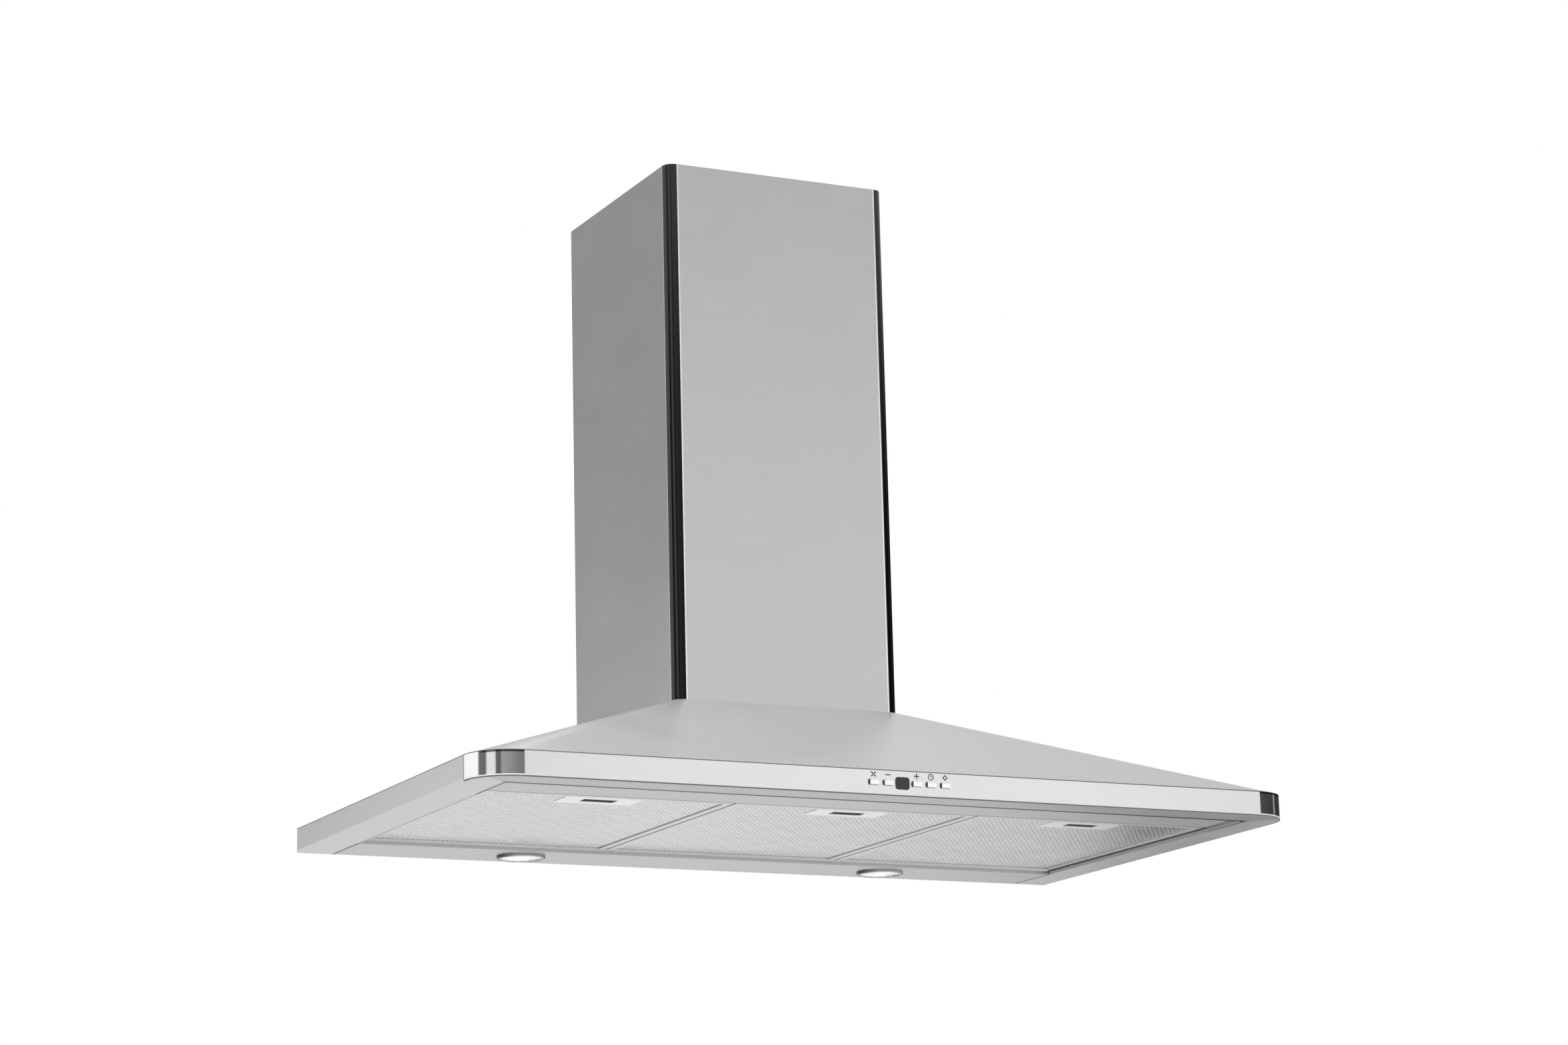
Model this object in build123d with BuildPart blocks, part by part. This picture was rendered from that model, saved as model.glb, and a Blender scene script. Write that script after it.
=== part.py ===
from build123d import *
import os
from math import hypot

# Wall mount range hood: a flat pyramid canopy of sheet steel under a telescopic chimney cover.
# Frame: origin on the wall plane, at mid width, level with the lower rim. The front faces -Y.

os.makedirs("parts", exist_ok=True)

# Whole hood and canopy, in millimetres
HOOD_WIDTH = 900
HOOD_DEPTH = 524
HOOD_HEIGHT = 718
BAND_HEIGHT = 26
BAND_CORNER_RADIUS = 44
CANOPY_RISE = 111
CANOPY_INSET = 2
BAND_FLANGE = 12
SIDE_RIM = 40
FRONT_RIM = 39
SHEET = 1
EDGE_ROUND = 0.8
SEAM_GAP = 0.3

# Wall fixing
WALL_HOLE_SPACING_X = 220
WALL_HOLE_SPACING_Z = 60
WALL_HOLE_HEIGHT = 82
WALL_HOLE_RADIUS = 4.25

# Chimney
CHIMNEY_WIDTH = 260
CHIMNEY_DEPTH = 262
CHIMNEY_CORNER_RADIUS = 12
CHIMNEY_BACK_FLANGE = 18
CHIMNEY_CLEARANCE = 2
UPPER_CHIMNEY_SETBACK = 6
AIR_OPENING_MARGIN = 25
BRACKET_SHEET = 1.5
BRACKET_HEIGHT = 40
BRACKET_DROP = 12
BRACKET_STEP = 25
BRACKET_EAR = 40
BRACKET_SIDE_GAP = 6
BRACKET_HOLE_SPACING = 120
BRACKET_HOLE_RADIUS = 3.2

# Underside
FILTER_COUNT = 3
FILTER_RECESS = 4
FILTER_GAP = 2
FILTER_THICKNESS = 9
FILTER_BORDER = 8
FILTER_PAD = 2.5
FRONT_PANEL_DEPTH = 70
FRONT_PANEL_UPSTAND = 10
LAMP_PANEL_DEPTH = 80
LAMP_PANEL_FLANGE = 14
LAMP_PANEL_SCREW_SPACING = 260
HINGE_ROD_RADIUS = 2
HINGE_ROD_LIFT = 1.4
RUN_CLEARANCE = 0.08
HOOK_WALL = 1.2
HOOK_WIDTH = 14
HOOK_SPACING = 180
MOVING_GAP = 0.3

# Filter handle and latch
HANDLE_WIDTH = 80
HANDLE_DEPTH = 36
CUP_WIDTH = 36
CUP_LENGTH = 17
CUP_TOP_GAP = 0.5
CUP_WALL = 1
LATCH_TRAVEL = 5
LATCH_TAB = 2
TONGUE_WIDTH = 16
TONGUE_THICKNESS = 1.8
TONGUE_TOP_GAP = 0.5
TONGUE_REACH = 1.4

# Lamps
LAMP_SPACING = 430
LAMP_WALL_DISTANCE = 43
LENS_RADIUS = 22.8
LENS_LEDGE = 1
BEZEL_SLEEVE = 1.2
BEZEL_FLANGE = 2
BEZEL_DROP = 3
BEZEL_LIP = 0.6
LENS_THICKNESS = 1.5
LAMP_BODY_HEIGHT = 24
LAMP_BOSS_RADIUS = 8
LAMP_BOSS_HEIGHT = 6

# Controls
CONTROL_COUNT = 6
LEFT_BUTTON_COUNT = 2
CONTROL_PITCH = 15.85
BUTTON_SPACE = 4.45
BUTTON_HEIGHT = 5.4
BUTTON_ROUND = 1.6
BUTTON_CLEARANCE = 0.2
BUTTON_PROUD = 1.2
BUTTON_FLANGE = 0.6
BUTTON_TRAVEL = 1.2
BUTTON_STEM = 4
DISPLAY_SPACE = 0.25
DISPLAY_HEIGHT = 12.4
DISPLAY_ROUND = 3
DISPLAY_PROUD = 0.3
DISPLAY_FLANGE = 0.9
FLANGE_THICKNESS = 1.2
CONTROL_BOX_WIDTH = 112
CONTROL_BOX_REAR_GAP = 7
CONTROL_BOX_WALL = 1.5
BOARD_SETBACK = 11
BOARD_THICKNESS = 1.6
BOARD_MARGIN = 3
BOARD_POST_RADIUS = 2.5
SWITCH_SIZE = 6
SWITCH_HEIGHT = 3.5

# Blower
BLOWER_LIFT = 10
IMPELLER_RADIUS = 75
IMPELLER_WIDTH = 128
IMPELLER_RING = 3
BLADE_COUNT = 36
BLADE_CHORD = 12
BLADE_THICKNESS = 1
BLADE_ANGLE = 25
BLADE_RING_DEPTH = 14
FAN_DISC = 2
HUB_RADIUS = 12
HUB_LENGTH = 26
SHAFT_RADIUS = 4
SHAFT_LENGTH = 78
SCROLL_START_GAP = 11
SCROLL_STEP = 10
SCROLL_SIDE_GAP = 6
OUTLET_HEIGHT = 120
INLET_RADIUS = 64
MOTOR_RADIUS = 42
MOTOR_FAN_GAP = 7
MOTOR_ARM_WIDTH = 16
MOTOR_ARM_REACH = 14
BLOWER_BRACKET_HEIGHT = 31
BLOWER_BRACKET_FOOT = 12
BLOWER_BRACKET_END_GAP = 5
BLOWER_SCREW_INSET = 7

# Outlet
DUCT_RADIUS = 75
COLLAR_WALL = 1.2
COLLAR_HEIGHT = 55
PLENUM_HEIGHT = 34
PLENUM_MARGIN = 5
FLAP_LEDGE = 4
FLAP_LEDGE_HEIGHT = 8
FLAP_ROD_RADIUS = 2
FLAP_THICKNESS = 1.2
FLAP_EDGE_GAP = 0.6
FLAP_BARREL_WALL = 1.2
FLAP_KNUCKLE_LENGTH = 14
FLAP_KNUCKLE_OFFSET = 24

# Electrical parts and screws
TERMINAL_SIDE_GAP = 6.5
TERMINAL_LENGTH = 90
TERMINAL_HEIGHT = 60
TERMINAL_WALL = 1.5
GLAND_RADIUS = 11
GLAND_NECK_RADIUS = 8
GLAND_BORE_RADIUS = 4.5
GLAND_HEIGHT = 16
CAPACITOR_RADIUS = 16
CAPACITOR_LENGTH = 55
CAPACITOR_FOOT = 20
LEAD_RADIUS = 2.5
LEAD_BEND_RADIUS = 14
LEAD_SPACING = 20
LEAD_EDGE_GAP = 5
SCREW_RADIUS = 2
SCREW_HEAD_RADIUS = 4
SCREW_HEAD_HEIGHT = 1.4

# Places worked out from the dimensions
half_width = HOOD_WIDTH / 2
front_y = -HOOD_DEPTH
seam_y = front_y + BAND_CORNER_RADIUS
plate_y = -SHEET
inner_x = half_width - SIDE_RIM
inner_y = front_y + FRONT_RIM
seat_z = BAND_HEIGHT + CANOPY_RISE
chimney_top = HOOD_HEIGHT
chimney_mid_y = -CHIMNEY_DEPTH / 2
upper_inset = SHEET + CHIMNEY_CLEARANCE


def block(x_limits, y_limits, z_limits, mode=Mode.ADD):
    """Adds or cuts a straight-sided block between the given limits."""
    middles = [(low + high) / 2 for low, high in (x_limits, y_limits, z_limits)]
    lengths = [high - low for low, high in (x_limits, y_limits, z_limits)]
    with Locations(tuple(middles)):
        Box(*lengths, mode=mode)


def rounded_plan(half, front, back, radius, z):
    """Plan outline at height z, square along the wall, with two rounded front corners."""
    with BuildSketch(Plane.XY.offset(z)) as plan:
        with Locations((0, (front + back) / 2)):
            Rectangle(2 * half, back - front)
        fillet(plan.vertices().group_by(Axis.Y)[0], radius)
    return plan.sketch


def pan_screw(shank_length):
    """Adds a pan-head screw at each active place, its head standing on the plane."""
    Cylinder(SCREW_HEAD_RADIUS, SCREW_HEAD_HEIGHT, align=(Align.CENTER, Align.CENTER, Align.MIN))
    Cylinder(SCREW_RADIUS, shank_length, align=(Align.CENTER, Align.CENTER, Align.MAX))


def write(piece, name):
    """Labels a finished piece and writes its STEP file."""
    piece.part.label = name
    export_step(piece.part, f"parts/{name}.step")


# Canopy shell: three sloping sheets and the flat seat of the chimney, welded along the hips.
front_run = HOOD_DEPTH - CANOPY_INSET - CHIMNEY_DEPTH
canopy_drop = SHEET * hypot(CANOPY_RISE, front_run) / front_run
canopy_half = half_width - CANOPY_INSET
canopy_front = front_y + CANOPY_INSET
canopy_radius = BAND_CORNER_RADIUS - CANOPY_INSET
chimney_half = CHIMNEY_WIDTH / 2
air_opening_y = (-CHIMNEY_DEPTH + AIR_OPENING_MARGIN, -AIR_OPENING_MARGIN)
air_opening_half = chimney_half - AIR_OPENING_MARGIN


def canopy_sections(back, drop):
    """The canopy's lower and upper outlines, lowered by drop."""
    lower = rounded_plan(canopy_half, canopy_front, back, canopy_radius, BAND_HEIGHT - drop)
    upper = rounded_plan(chimney_half, -CHIMNEY_DEPTH, back, CHIMNEY_CORNER_RADIUS, seat_z - drop)
    return [lower, upper]


bracket_foot_y = (
    -CHIMNEY_DEPTH + upper_inset + SHEET + BLOWER_BRACKET_END_GAP,
    -upper_inset - SHEET - BLOWER_BRACKET_END_GAP,
)
scroll_half = IMPELLER_WIDTH / 2 + SCROLL_SIDE_GAP
bracket_screw_places = [
    (side * (scroll_half + BRACKET_SHEET + BLOWER_BRACKET_FOOT / 2), end)
    for side in (-1, 1)
    for end in (bracket_foot_y[0] + BLOWER_SCREW_INSET, bracket_foot_y[1] - BLOWER_SCREW_INSET)
]

with BuildPart() as canopy_form:
    loft(sections=canopy_sections(plate_y, 0), ruled=True)
    loft(sections=canopy_sections(0, canopy_drop), ruled=True, mode=Mode.SUBTRACT)
    block(
        (-air_opening_half, air_opening_half),
        air_opening_y,
        (seat_z - 2 * canopy_drop, seat_z),
        mode=Mode.SUBTRACT,
    )
    with BuildSketch(Plane.XY.offset(seat_z)):
        with Locations(bracket_screw_places):
            Circle(SCREW_RADIUS)
    extrude(amount=-2 * canopy_drop, mode=Mode.SUBTRACT)

seat_corners = [(-chimney_half, -CHIMNEY_DEPTH), (chimney_half, -CHIMNEY_DEPTH)]
rim_corners = [(-half_width, front_y), (half_width, front_y)]
sheet_outlines = [
    [(-chimney_half, 0), (chimney_half, 0), seat_corners[1], seat_corners[0]],
    [rim_corners[0], seat_corners[0], seat_corners[1], rim_corners[1]],
    [(-half_width, 0), (-chimney_half, 0), seat_corners[0], rim_corners[0]],
    [(half_width, 0), (chimney_half, 0), seat_corners[1], rim_corners[1]],
]


def canopy_sheet(outline):
    """The part of the canopy that lies over one outline in plan."""
    with BuildPart() as sheet:
        add(canopy_form.part)
        with BuildSketch():
            Polygon(*outline, align=None)
        extrude(amount=seat_z, mode=Mode.INTERSECT)
    return sheet.part.solids()


canopy_sheets = [solid for outline in sheet_outlines for solid in canopy_sheet(outline)]
canopy_shell = Compound(canopy_sheets)
canopy_shell.label = "canopy_shell"
export_step(canopy_shell, "parts/canopy_shell.step")

# Back plate: the flat sheet against the wall, with four fixing holes.
lamp_panel_screw_x = [-LAMP_PANEL_SCREW_SPACING, 0, LAMP_PANEL_SCREW_SPACING]
lamp_panel_screw_places = [(x, LAMP_PANEL_FLANGE / 2 + SHEET) for x in lamp_panel_screw_x]

with BuildPart() as back_plate:
    with BuildSketch(Plane.XZ):
        Polygon(
            (-half_width, 0),
            (half_width, 0),
            (half_width, BAND_HEIGHT),
            (canopy_half, BAND_HEIGHT),
            (chimney_half, seat_z),
            (-chimney_half, seat_z),
            (-canopy_half, BAND_HEIGHT),
            (-half_width, BAND_HEIGHT),
            align=None,
        )
        with Locations((0, WALL_HOLE_HEIGHT)):
            with GridLocations(WALL_HOLE_SPACING_X, WALL_HOLE_SPACING_Z, 2, 2):
                Circle(WALL_HOLE_RADIUS, mode=Mode.SUBTRACT)
        with Locations(lamp_panel_screw_places):
            Circle(SCREW_RADIUS, mode=Mode.SUBTRACT)
    extrude(amount=SHEET)
write(back_plate, "back_plate")

# Front band: the folded steel band round the front and both corners, with the front rim.
control_x = [(slot - (CONTROL_COUNT - 1) / 2) * CONTROL_PITCH for slot in range(CONTROL_COUNT)]
display_x = control_x[LEFT_BUTTON_COUNT]
button_x = [x for x in control_x if x != display_x]
control_z = BAND_HEIGHT / 2
button_width = CONTROL_PITCH - BUTTON_SPACE
display_width = CONTROL_PITCH - DISPLAY_SPACE
front_face = Plane.XZ.offset(HOOD_DEPTH)


def on_band_outline(edge):
    """True for the band's outer upper and lower edges."""
    if edge.geom_type == GeomType.CIRCLE:
        return abs(edge.radius - BAND_CORNER_RADIUS) < SEAM_GAP
    return abs(edge.center().Y - front_y) < SEAM_GAP and edge.length > half_width


with BuildPart() as front_band:
    extrude(
        to_extrude=rounded_plan(half_width, front_y, 0, BAND_CORNER_RADIUS, 0),
        amount=BAND_HEIGHT,
    )
    extrude(
        to_extrude=rounded_plan(half_width - SHEET, front_y + SHEET, 0, BAND_CORNER_RADIUS - SHEET, 0),
        amount=BAND_HEIGHT - SHEET,
        mode=Mode.SUBTRACT,
    )
    extrude(
        to_extrude=rounded_plan(
            half_width - BAND_FLANGE,
            front_y + BAND_FLANGE,
            0,
            BAND_CORNER_RADIUS - BAND_FLANGE,
            BAND_HEIGHT - SHEET,
        ),
        amount=SHEET,
        mode=Mode.SUBTRACT,
    )
    block((-half_width, half_width), (seam_y, 0), (0, BAND_HEIGHT), mode=Mode.SUBTRACT)
    with BuildSketch():
        add(rounded_plan(half_width, front_y, 0, BAND_CORNER_RADIUS, 0))
        Polygon(
            (-half_width, front_y),
            (half_width, front_y),
            (inner_x, inner_y),
            (-inner_x, inner_y),
            align=None,
            mode=Mode.INTERSECT,
        )
    extrude(amount=SHEET)
    block((-inner_x, inner_x), (inner_y - SHEET, inner_y), (0, FILTER_RECESS))
    fillet(front_band.edges().filter_by(on_band_outline), EDGE_ROUND)
    with BuildSketch(front_face):
        with Locations([(x, control_z) for x in button_x]):
            RectangleRounded(
                button_width + 2 * BUTTON_CLEARANCE,
                BUTTON_HEIGHT + 2 * BUTTON_CLEARANCE,
                BUTTON_ROUND + BUTTON_CLEARANCE,
            )
        with Locations((display_x, control_z)):
            RectangleRounded(display_width, DISPLAY_HEIGHT, DISPLAY_ROUND)
    extrude(amount=-SHEET, mode=Mode.SUBTRACT)
write(front_band, "front_band")

# Side bands: the straight side panels, each with its part of the lower rim and an inner lip.
band_start_y = seam_y + SEAM_GAP
corner_inset = SHEET + SEAM_GAP

with BuildPart() as left_side_band:
    block((-half_width, -half_width + SHEET), (band_start_y, plate_y), (0, BAND_HEIGHT))
    block(
        (-half_width, -half_width + BAND_FLANGE),
        (band_start_y, plate_y),
        (BAND_HEIGHT - SHEET, BAND_HEIGHT),
    )
    block((-half_width, -inner_x), (band_start_y, plate_y), (0, SHEET))
    with BuildSketch():
        add(
            rounded_plan(
                half_width - corner_inset,
                front_y + corner_inset,
                plate_y,
                BAND_CORNER_RADIUS - corner_inset,
                0,
            )
        )
        Polygon(
            (-half_width, front_y + SEAM_GAP),
            (-inner_x, inner_y + SEAM_GAP),
            (-inner_x, plate_y),
            (-half_width, plate_y),
            align=None,
            mode=Mode.INTERSECT,
        )
    extrude(amount=SHEET)
    block((-inner_x - SHEET, -inner_x), (inner_y + SEAM_GAP, plate_y), (0, FILTER_RECESS))
    outer_edges = left_side_band.edges().filter_by(Axis.Y).group_by(Axis.X)[0]
    fillet(outer_edges, EDGE_ROUND)
write(left_side_band, "left_side_band")

with BuildPart() as right_side_band:
    mirror(left_side_band.part, about=Plane.YZ)
write(right_side_band, "right_side_band")

# Front inner panel: the strip between the front rim and the filters, lying on the lips.
panel_rear = inner_y + FRONT_PANEL_DEPTH
panel_z = FILTER_RECESS

with BuildPart() as front_inner_panel:
    block(
        (-inner_x - SHEET, inner_x + SHEET),
        (inner_y - SHEET, panel_rear),
        (panel_z, panel_z + SHEET),
    )
    block(
        (-inner_x - SHEET, inner_x + SHEET),
        (panel_rear - SHEET, panel_rear),
        (panel_z, panel_z + FRONT_PANEL_UPSTAND),
    )
write(front_inner_panel, "front_inner_panel")

# Rear lamp panel: the strip along the wall. Its front edge ends in the rod the filters hang on.
lamp_panel_half = inner_x - SEAM_GAP
lamp_panel_front = -LAMP_PANEL_DEPTH
rod_y = lamp_panel_front - HINGE_ROD_RADIUS + SHEET
rod_z = FILTER_RECESS + HINGE_ROD_LIFT
lamp_places = [(side * LAMP_SPACING / 2, -LAMP_WALL_DISTANCE) for side in (-1, 1)]
sleeve_radius = LENS_RADIUS + BEZEL_SLEEVE
bezel_radius = sleeve_radius + BEZEL_FLANGE
wall_side_face = Plane.XZ.offset(SHEET)

with BuildPart() as rear_lamp_panel:
    block((-lamp_panel_half, lamp_panel_half), (lamp_panel_front, plate_y), (0, SHEET))
    block((-lamp_panel_half, lamp_panel_half), (lamp_panel_front, lamp_panel_front + SHEET), (0, rod_z))
    with BuildSketch(Plane.YZ.offset(-lamp_panel_half)):
        with Locations((rod_y, rod_z)):
            Circle(HINGE_ROD_RADIUS)
    extrude(amount=2 * lamp_panel_half)
    block((-lamp_panel_half, lamp_panel_half), (plate_y - SHEET, plate_y), (0, LAMP_PANEL_FLANGE))
    for side in (-1, 1):
        wall_x = sorted((side * lamp_panel_half, side * (lamp_panel_half - SHEET)))
        hook_x = sorted((side * (lamp_panel_half - SHEET), side * (inner_x + SHEET)))
        block(wall_x, (lamp_panel_front, plate_y), (0, FILTER_RECESS + SHEET))
        block(hook_x, (lamp_panel_front, plate_y), (FILTER_RECESS, FILTER_RECESS + SHEET))
    with BuildSketch():
        with Locations(lamp_places):
            Circle(sleeve_radius)
    extrude(amount=SHEET, mode=Mode.SUBTRACT)
    with BuildSketch(wall_side_face):
        with Locations(lamp_panel_screw_places):
            Circle(SCREW_RADIUS)
    extrude(amount=SHEET, mode=Mode.SUBTRACT)
write(rear_lamp_panel, "rear_lamp_panel")

with BuildPart(Plane.XZ.offset(2 * SHEET)) as lamp_panel_screws:
    with Locations(lamp_panel_screw_places):
        pan_screw(2 * SHEET)
write(lamp_panel_screws, "lamp_panel_screws")

# Lamps: a turned bezel below the panel, a lens on its lip and the lamp body above the lens.
lens_z = -BEZEL_DROP + BEZEL_LIP
lamp_body_z = lens_z + LENS_THICKNESS
lamp_boss_top = lamp_body_z + LAMP_BODY_HEIGHT + LAMP_BOSS_HEIGHT

for side_name, (lamp_x, lamp_y) in zip(("left", "right"), lamp_places):
    lamp_plane = Plane((lamp_x, lamp_y, 0))
    with BuildPart(lamp_plane) as lamp_bezel:
        with BuildSketch(lamp_plane.offset(-BEZEL_DROP)):
            Circle(bezel_radius)
        extrude(amount=BEZEL_DROP)
        chamfer(lamp_bezel.edges().group_by(Axis.Z)[0], BEZEL_LIP)
        with BuildSketch(lamp_plane):
            Circle(sleeve_radius)
        extrude(amount=2 * SHEET)
        with BuildSketch(lamp_plane.offset(lens_z)):
            Circle(LENS_RADIUS)
        extrude(amount=BEZEL_DROP + 2 * SHEET, mode=Mode.SUBTRACT)
        with BuildSketch(lamp_plane.offset(-BEZEL_DROP)):
            Circle(LENS_RADIUS - LENS_LEDGE)
        extrude(amount=BEZEL_LIP, mode=Mode.SUBTRACT)
    write(lamp_bezel, f"lamp_bezel_{side_name}")

    with BuildPart(lamp_plane) as lamp_lens:
        with BuildSketch(lamp_plane.offset(lens_z)):
            Circle(LENS_RADIUS)
        extrude(amount=LENS_THICKNESS)
    write(lamp_lens, f"lamp_lens_{side_name}")

    with BuildPart(lamp_plane) as lamp_body:
        with BuildSketch(lamp_plane.offset(lamp_body_z)):
            Circle(LENS_RADIUS)
        extrude(amount=LAMP_BODY_HEIGHT)
        chamfer(lamp_body.edges().group_by(Axis.Z)[-1], HOOK_WALL)
        with BuildSketch(lamp_plane.offset(lamp_body_z + LAMP_BODY_HEIGHT)):
            Circle(LAMP_BOSS_RADIUS)
        extrude(amount=LAMP_BOSS_HEIGHT)
    write(lamp_body, f"lamp_body_{side_name}")

# Grease filters: a channel frame round a mesh pad, with a handle plate and a sliding latch.
filter_width = (2 * inner_x - (FILTER_COUNT + 1) * FILTER_GAP) / FILTER_COUNT
filter_pitch = filter_width + FILTER_GAP
filter_front = panel_rear + FILTER_GAP
hook_bore = HINGE_ROD_RADIUS + RUN_CLEARANCE
hook_outer = hook_bore + HOOK_WALL
filter_rear = rod_y - hook_outer - MOVING_GAP
filter_z = FILTER_RECESS
filter_top = filter_z + FILTER_THICKNESS
handle_front = filter_front + FILTER_BORDER + MOVING_GAP
cup_front = handle_front + (HANDLE_DEPTH - CUP_LENGTH) / 2
cup_rear = cup_front + CUP_LENGTH
cup_top = filter_top - CUP_TOP_GAP
tab_rear = cup_rear - CUP_WALL - LATCH_TRAVEL - MOVING_GAP
tab_front = tab_rear - LATCH_TAB
tongue_z = cup_top - CUP_WALL - TONGUE_TOP_GAP - TONGUE_THICKNESS
tongue_slot_z = (tongue_z - MOVING_GAP, tongue_z + TONGUE_THICKNESS + MOVING_GAP)


def around(center, width):
    """Limits of a stretch of the given width about a centre."""
    return (center - width / 2, center + width / 2)


def build_filter(number, center_x):
    """Makes one filter: frame with rear hooks, mesh pad, handle plate with its cup, and latch."""
    tongue_slot_x = around(center_x, TONGUE_WIDTH + 2 * MOVING_GAP)

    with BuildPart() as filter_frame:
        block(around(center_x, filter_width), (filter_front, filter_rear), (filter_z, filter_top))
        block(
            around(center_x, filter_width - 2 * SHEET),
            (filter_front + SHEET, filter_rear - SHEET),
            (filter_z + SHEET, filter_top - SHEET),
            mode=Mode.SUBTRACT,
        )
        block(
            around(center_x, filter_width - 2 * FILTER_BORDER),
            (filter_front + FILTER_BORDER, filter_rear - FILTER_BORDER),
            (filter_z, filter_top),
            mode=Mode.SUBTRACT,
        )
        block(tongue_slot_x, (filter_front, filter_front + SHEET), tongue_slot_z, mode=Mode.SUBTRACT)
        for hook_center in around(center_x, HOOK_SPACING):
            with BuildSketch(Plane.YZ.offset(hook_center - HOOK_WIDTH / 2)):
                with Locations((rod_y, rod_z)):
                    Circle(hook_outer)
                    Circle(hook_bore, mode=Mode.SUBTRACT)
                    Rectangle(
                        2 * hook_outer,
                        hook_outer,
                        align=(Align.CENTER, Align.MAX),
                        mode=Mode.SUBTRACT,
                    )
                with Locations((filter_rear, rod_z)):
                    Rectangle(MOVING_GAP + HOOK_WALL, HOOK_WALL, align=Align.MIN)
            extrude(amount=HOOK_WIDTH)
    write(filter_frame, f"filter_frame_{number}")

    with BuildPart() as filter_mesh:
        block(
            around(center_x, filter_width - 2 * SHEET - MOVING_GAP),
            (filter_front + SHEET + MOVING_GAP / 2, filter_rear - SHEET - MOVING_GAP / 2),
            (filter_z + SHEET, filter_z + SHEET + FILTER_PAD),
        )
        block(
            around(center_x, CUP_WIDTH + 2 * CUP_WALL),
            (cup_front, cup_rear),
            (filter_z, filter_top),
            mode=Mode.SUBTRACT,
        )
    write(filter_mesh, f"filter_mesh_{number}")

    with BuildPart() as filter_handle:
        block(
            around(center_x, HANDLE_WIDTH),
            (handle_front, handle_front + HANDLE_DEPTH),
            (filter_z, filter_z + SHEET),
        )
        block(around(center_x, CUP_WIDTH + 2 * CUP_WALL), (cup_front, cup_rear), (filter_z, cup_top))
        block(
            around(center_x, CUP_WIDTH),
            (cup_front + CUP_WALL, cup_rear - CUP_WALL),
            (filter_z, cup_top - CUP_WALL),
            mode=Mode.SUBTRACT,
        )
        block(tongue_slot_x, (cup_front, cup_front + CUP_WALL), tongue_slot_z, mode=Mode.SUBTRACT)
    write(filter_handle, f"filter_handle_{number}")

    with BuildPart() as latch:
        block(
            around(center_x, CUP_WIDTH - 2 * MOVING_GAP),
            (tab_front, tab_rear),
            (filter_z + SHEET, cup_top - CUP_WALL - MOVING_GAP),
        )
        block(
            around(center_x, TONGUE_WIDTH),
            (filter_front - TONGUE_REACH, tab_front),
            (tongue_z, tongue_z + TONGUE_THICKNESS),
        )
    write(latch, f"latch_{number}")


for filter_index in range(FILTER_COUNT):
    build_filter(filter_index + 1, (filter_index - (FILTER_COUNT - 1) / 2) * filter_pitch)

# Controls: a tray behind the front band with its circuit board, five buttons and a display.
box_front = front_y + SHEET
box_rear = inner_y - CONTROL_BOX_REAR_GAP
box_z = (SHEET, BAND_HEIGHT - SHEET - SEAM_GAP)
board_y = box_front + BOARD_SETBACK
board_rear = board_y + BOARD_THICKNESS
board_half = CONTROL_BOX_WIDTH / 2 - CONTROL_BOX_WALL - SEAM_GAP
board_z = (box_z[0] + BOARD_MARGIN, box_z[1] - BOARD_MARGIN)
post_height = (box_z[0] + box_z[1]) / 2
control_lead_x = CONTROL_BOX_WIDTH / 4
control_lead_z = post_height

with BuildPart() as control_housing:
    block(around(0, CONTROL_BOX_WIDTH), (box_front, box_rear), box_z)
    block(
        around(0, CONTROL_BOX_WIDTH - 2 * CONTROL_BOX_WALL),
        (box_front, box_rear - CONTROL_BOX_WALL),
        (box_z[0] + CONTROL_BOX_WALL, box_z[1] - CONTROL_BOX_WALL),
        mode=Mode.SUBTRACT,
    )
    with BuildSketch(Plane.XZ.offset(-board_rear)):
        with Locations((0, post_height)):
            with GridLocations(CONTROL_BOX_WIDTH / 3, 0, 3, 1):
                Circle(BOARD_POST_RADIUS)
    extrude(amount=board_rear - box_rear + CONTROL_BOX_WALL)
write(control_housing, "control_housing")

with BuildPart() as control_board:
    block(around(0, 2 * board_half), (board_y, board_rear), board_z)
    for x in button_x:
        block(
            around(x, SWITCH_SIZE),
            (board_y - SWITCH_HEIGHT, board_y),
            around(control_z, SWITCH_SIZE),
        )
    block(
        around(display_x, display_width - 2 * FLANGE_THICKNESS),
        (box_front + FLANGE_THICKNESS, board_y),
        around(control_z, DISPLAY_HEIGHT - 2 * FLANGE_THICKNESS),
    )
write(control_board, "control_board")

with BuildPart() as display_window:
    with BuildSketch(front_face.offset(DISPLAY_PROUD)):
        with Locations((display_x, control_z)):
            RectangleRounded(display_width, DISPLAY_HEIGHT, DISPLAY_ROUND)
    extrude(amount=-(DISPLAY_PROUD + SHEET))
    with BuildSketch(front_face.offset(-SHEET)):
        with Locations((display_x, control_z)):
            RectangleRounded(
                display_width + 2 * DISPLAY_FLANGE,
                DISPLAY_HEIGHT + 2 * DISPLAY_FLANGE,
                DISPLAY_ROUND + DISPLAY_FLANGE,
            )
    extrude(amount=-FLANGE_THICKNESS)
write(display_window, "display_window")

button_flange_y = SHEET + MOVING_GAP
stem_length = BOARD_SETBACK + SHEET - SWITCH_HEIGHT - BUTTON_TRAVEL - MOVING_GAP - button_flange_y

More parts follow.
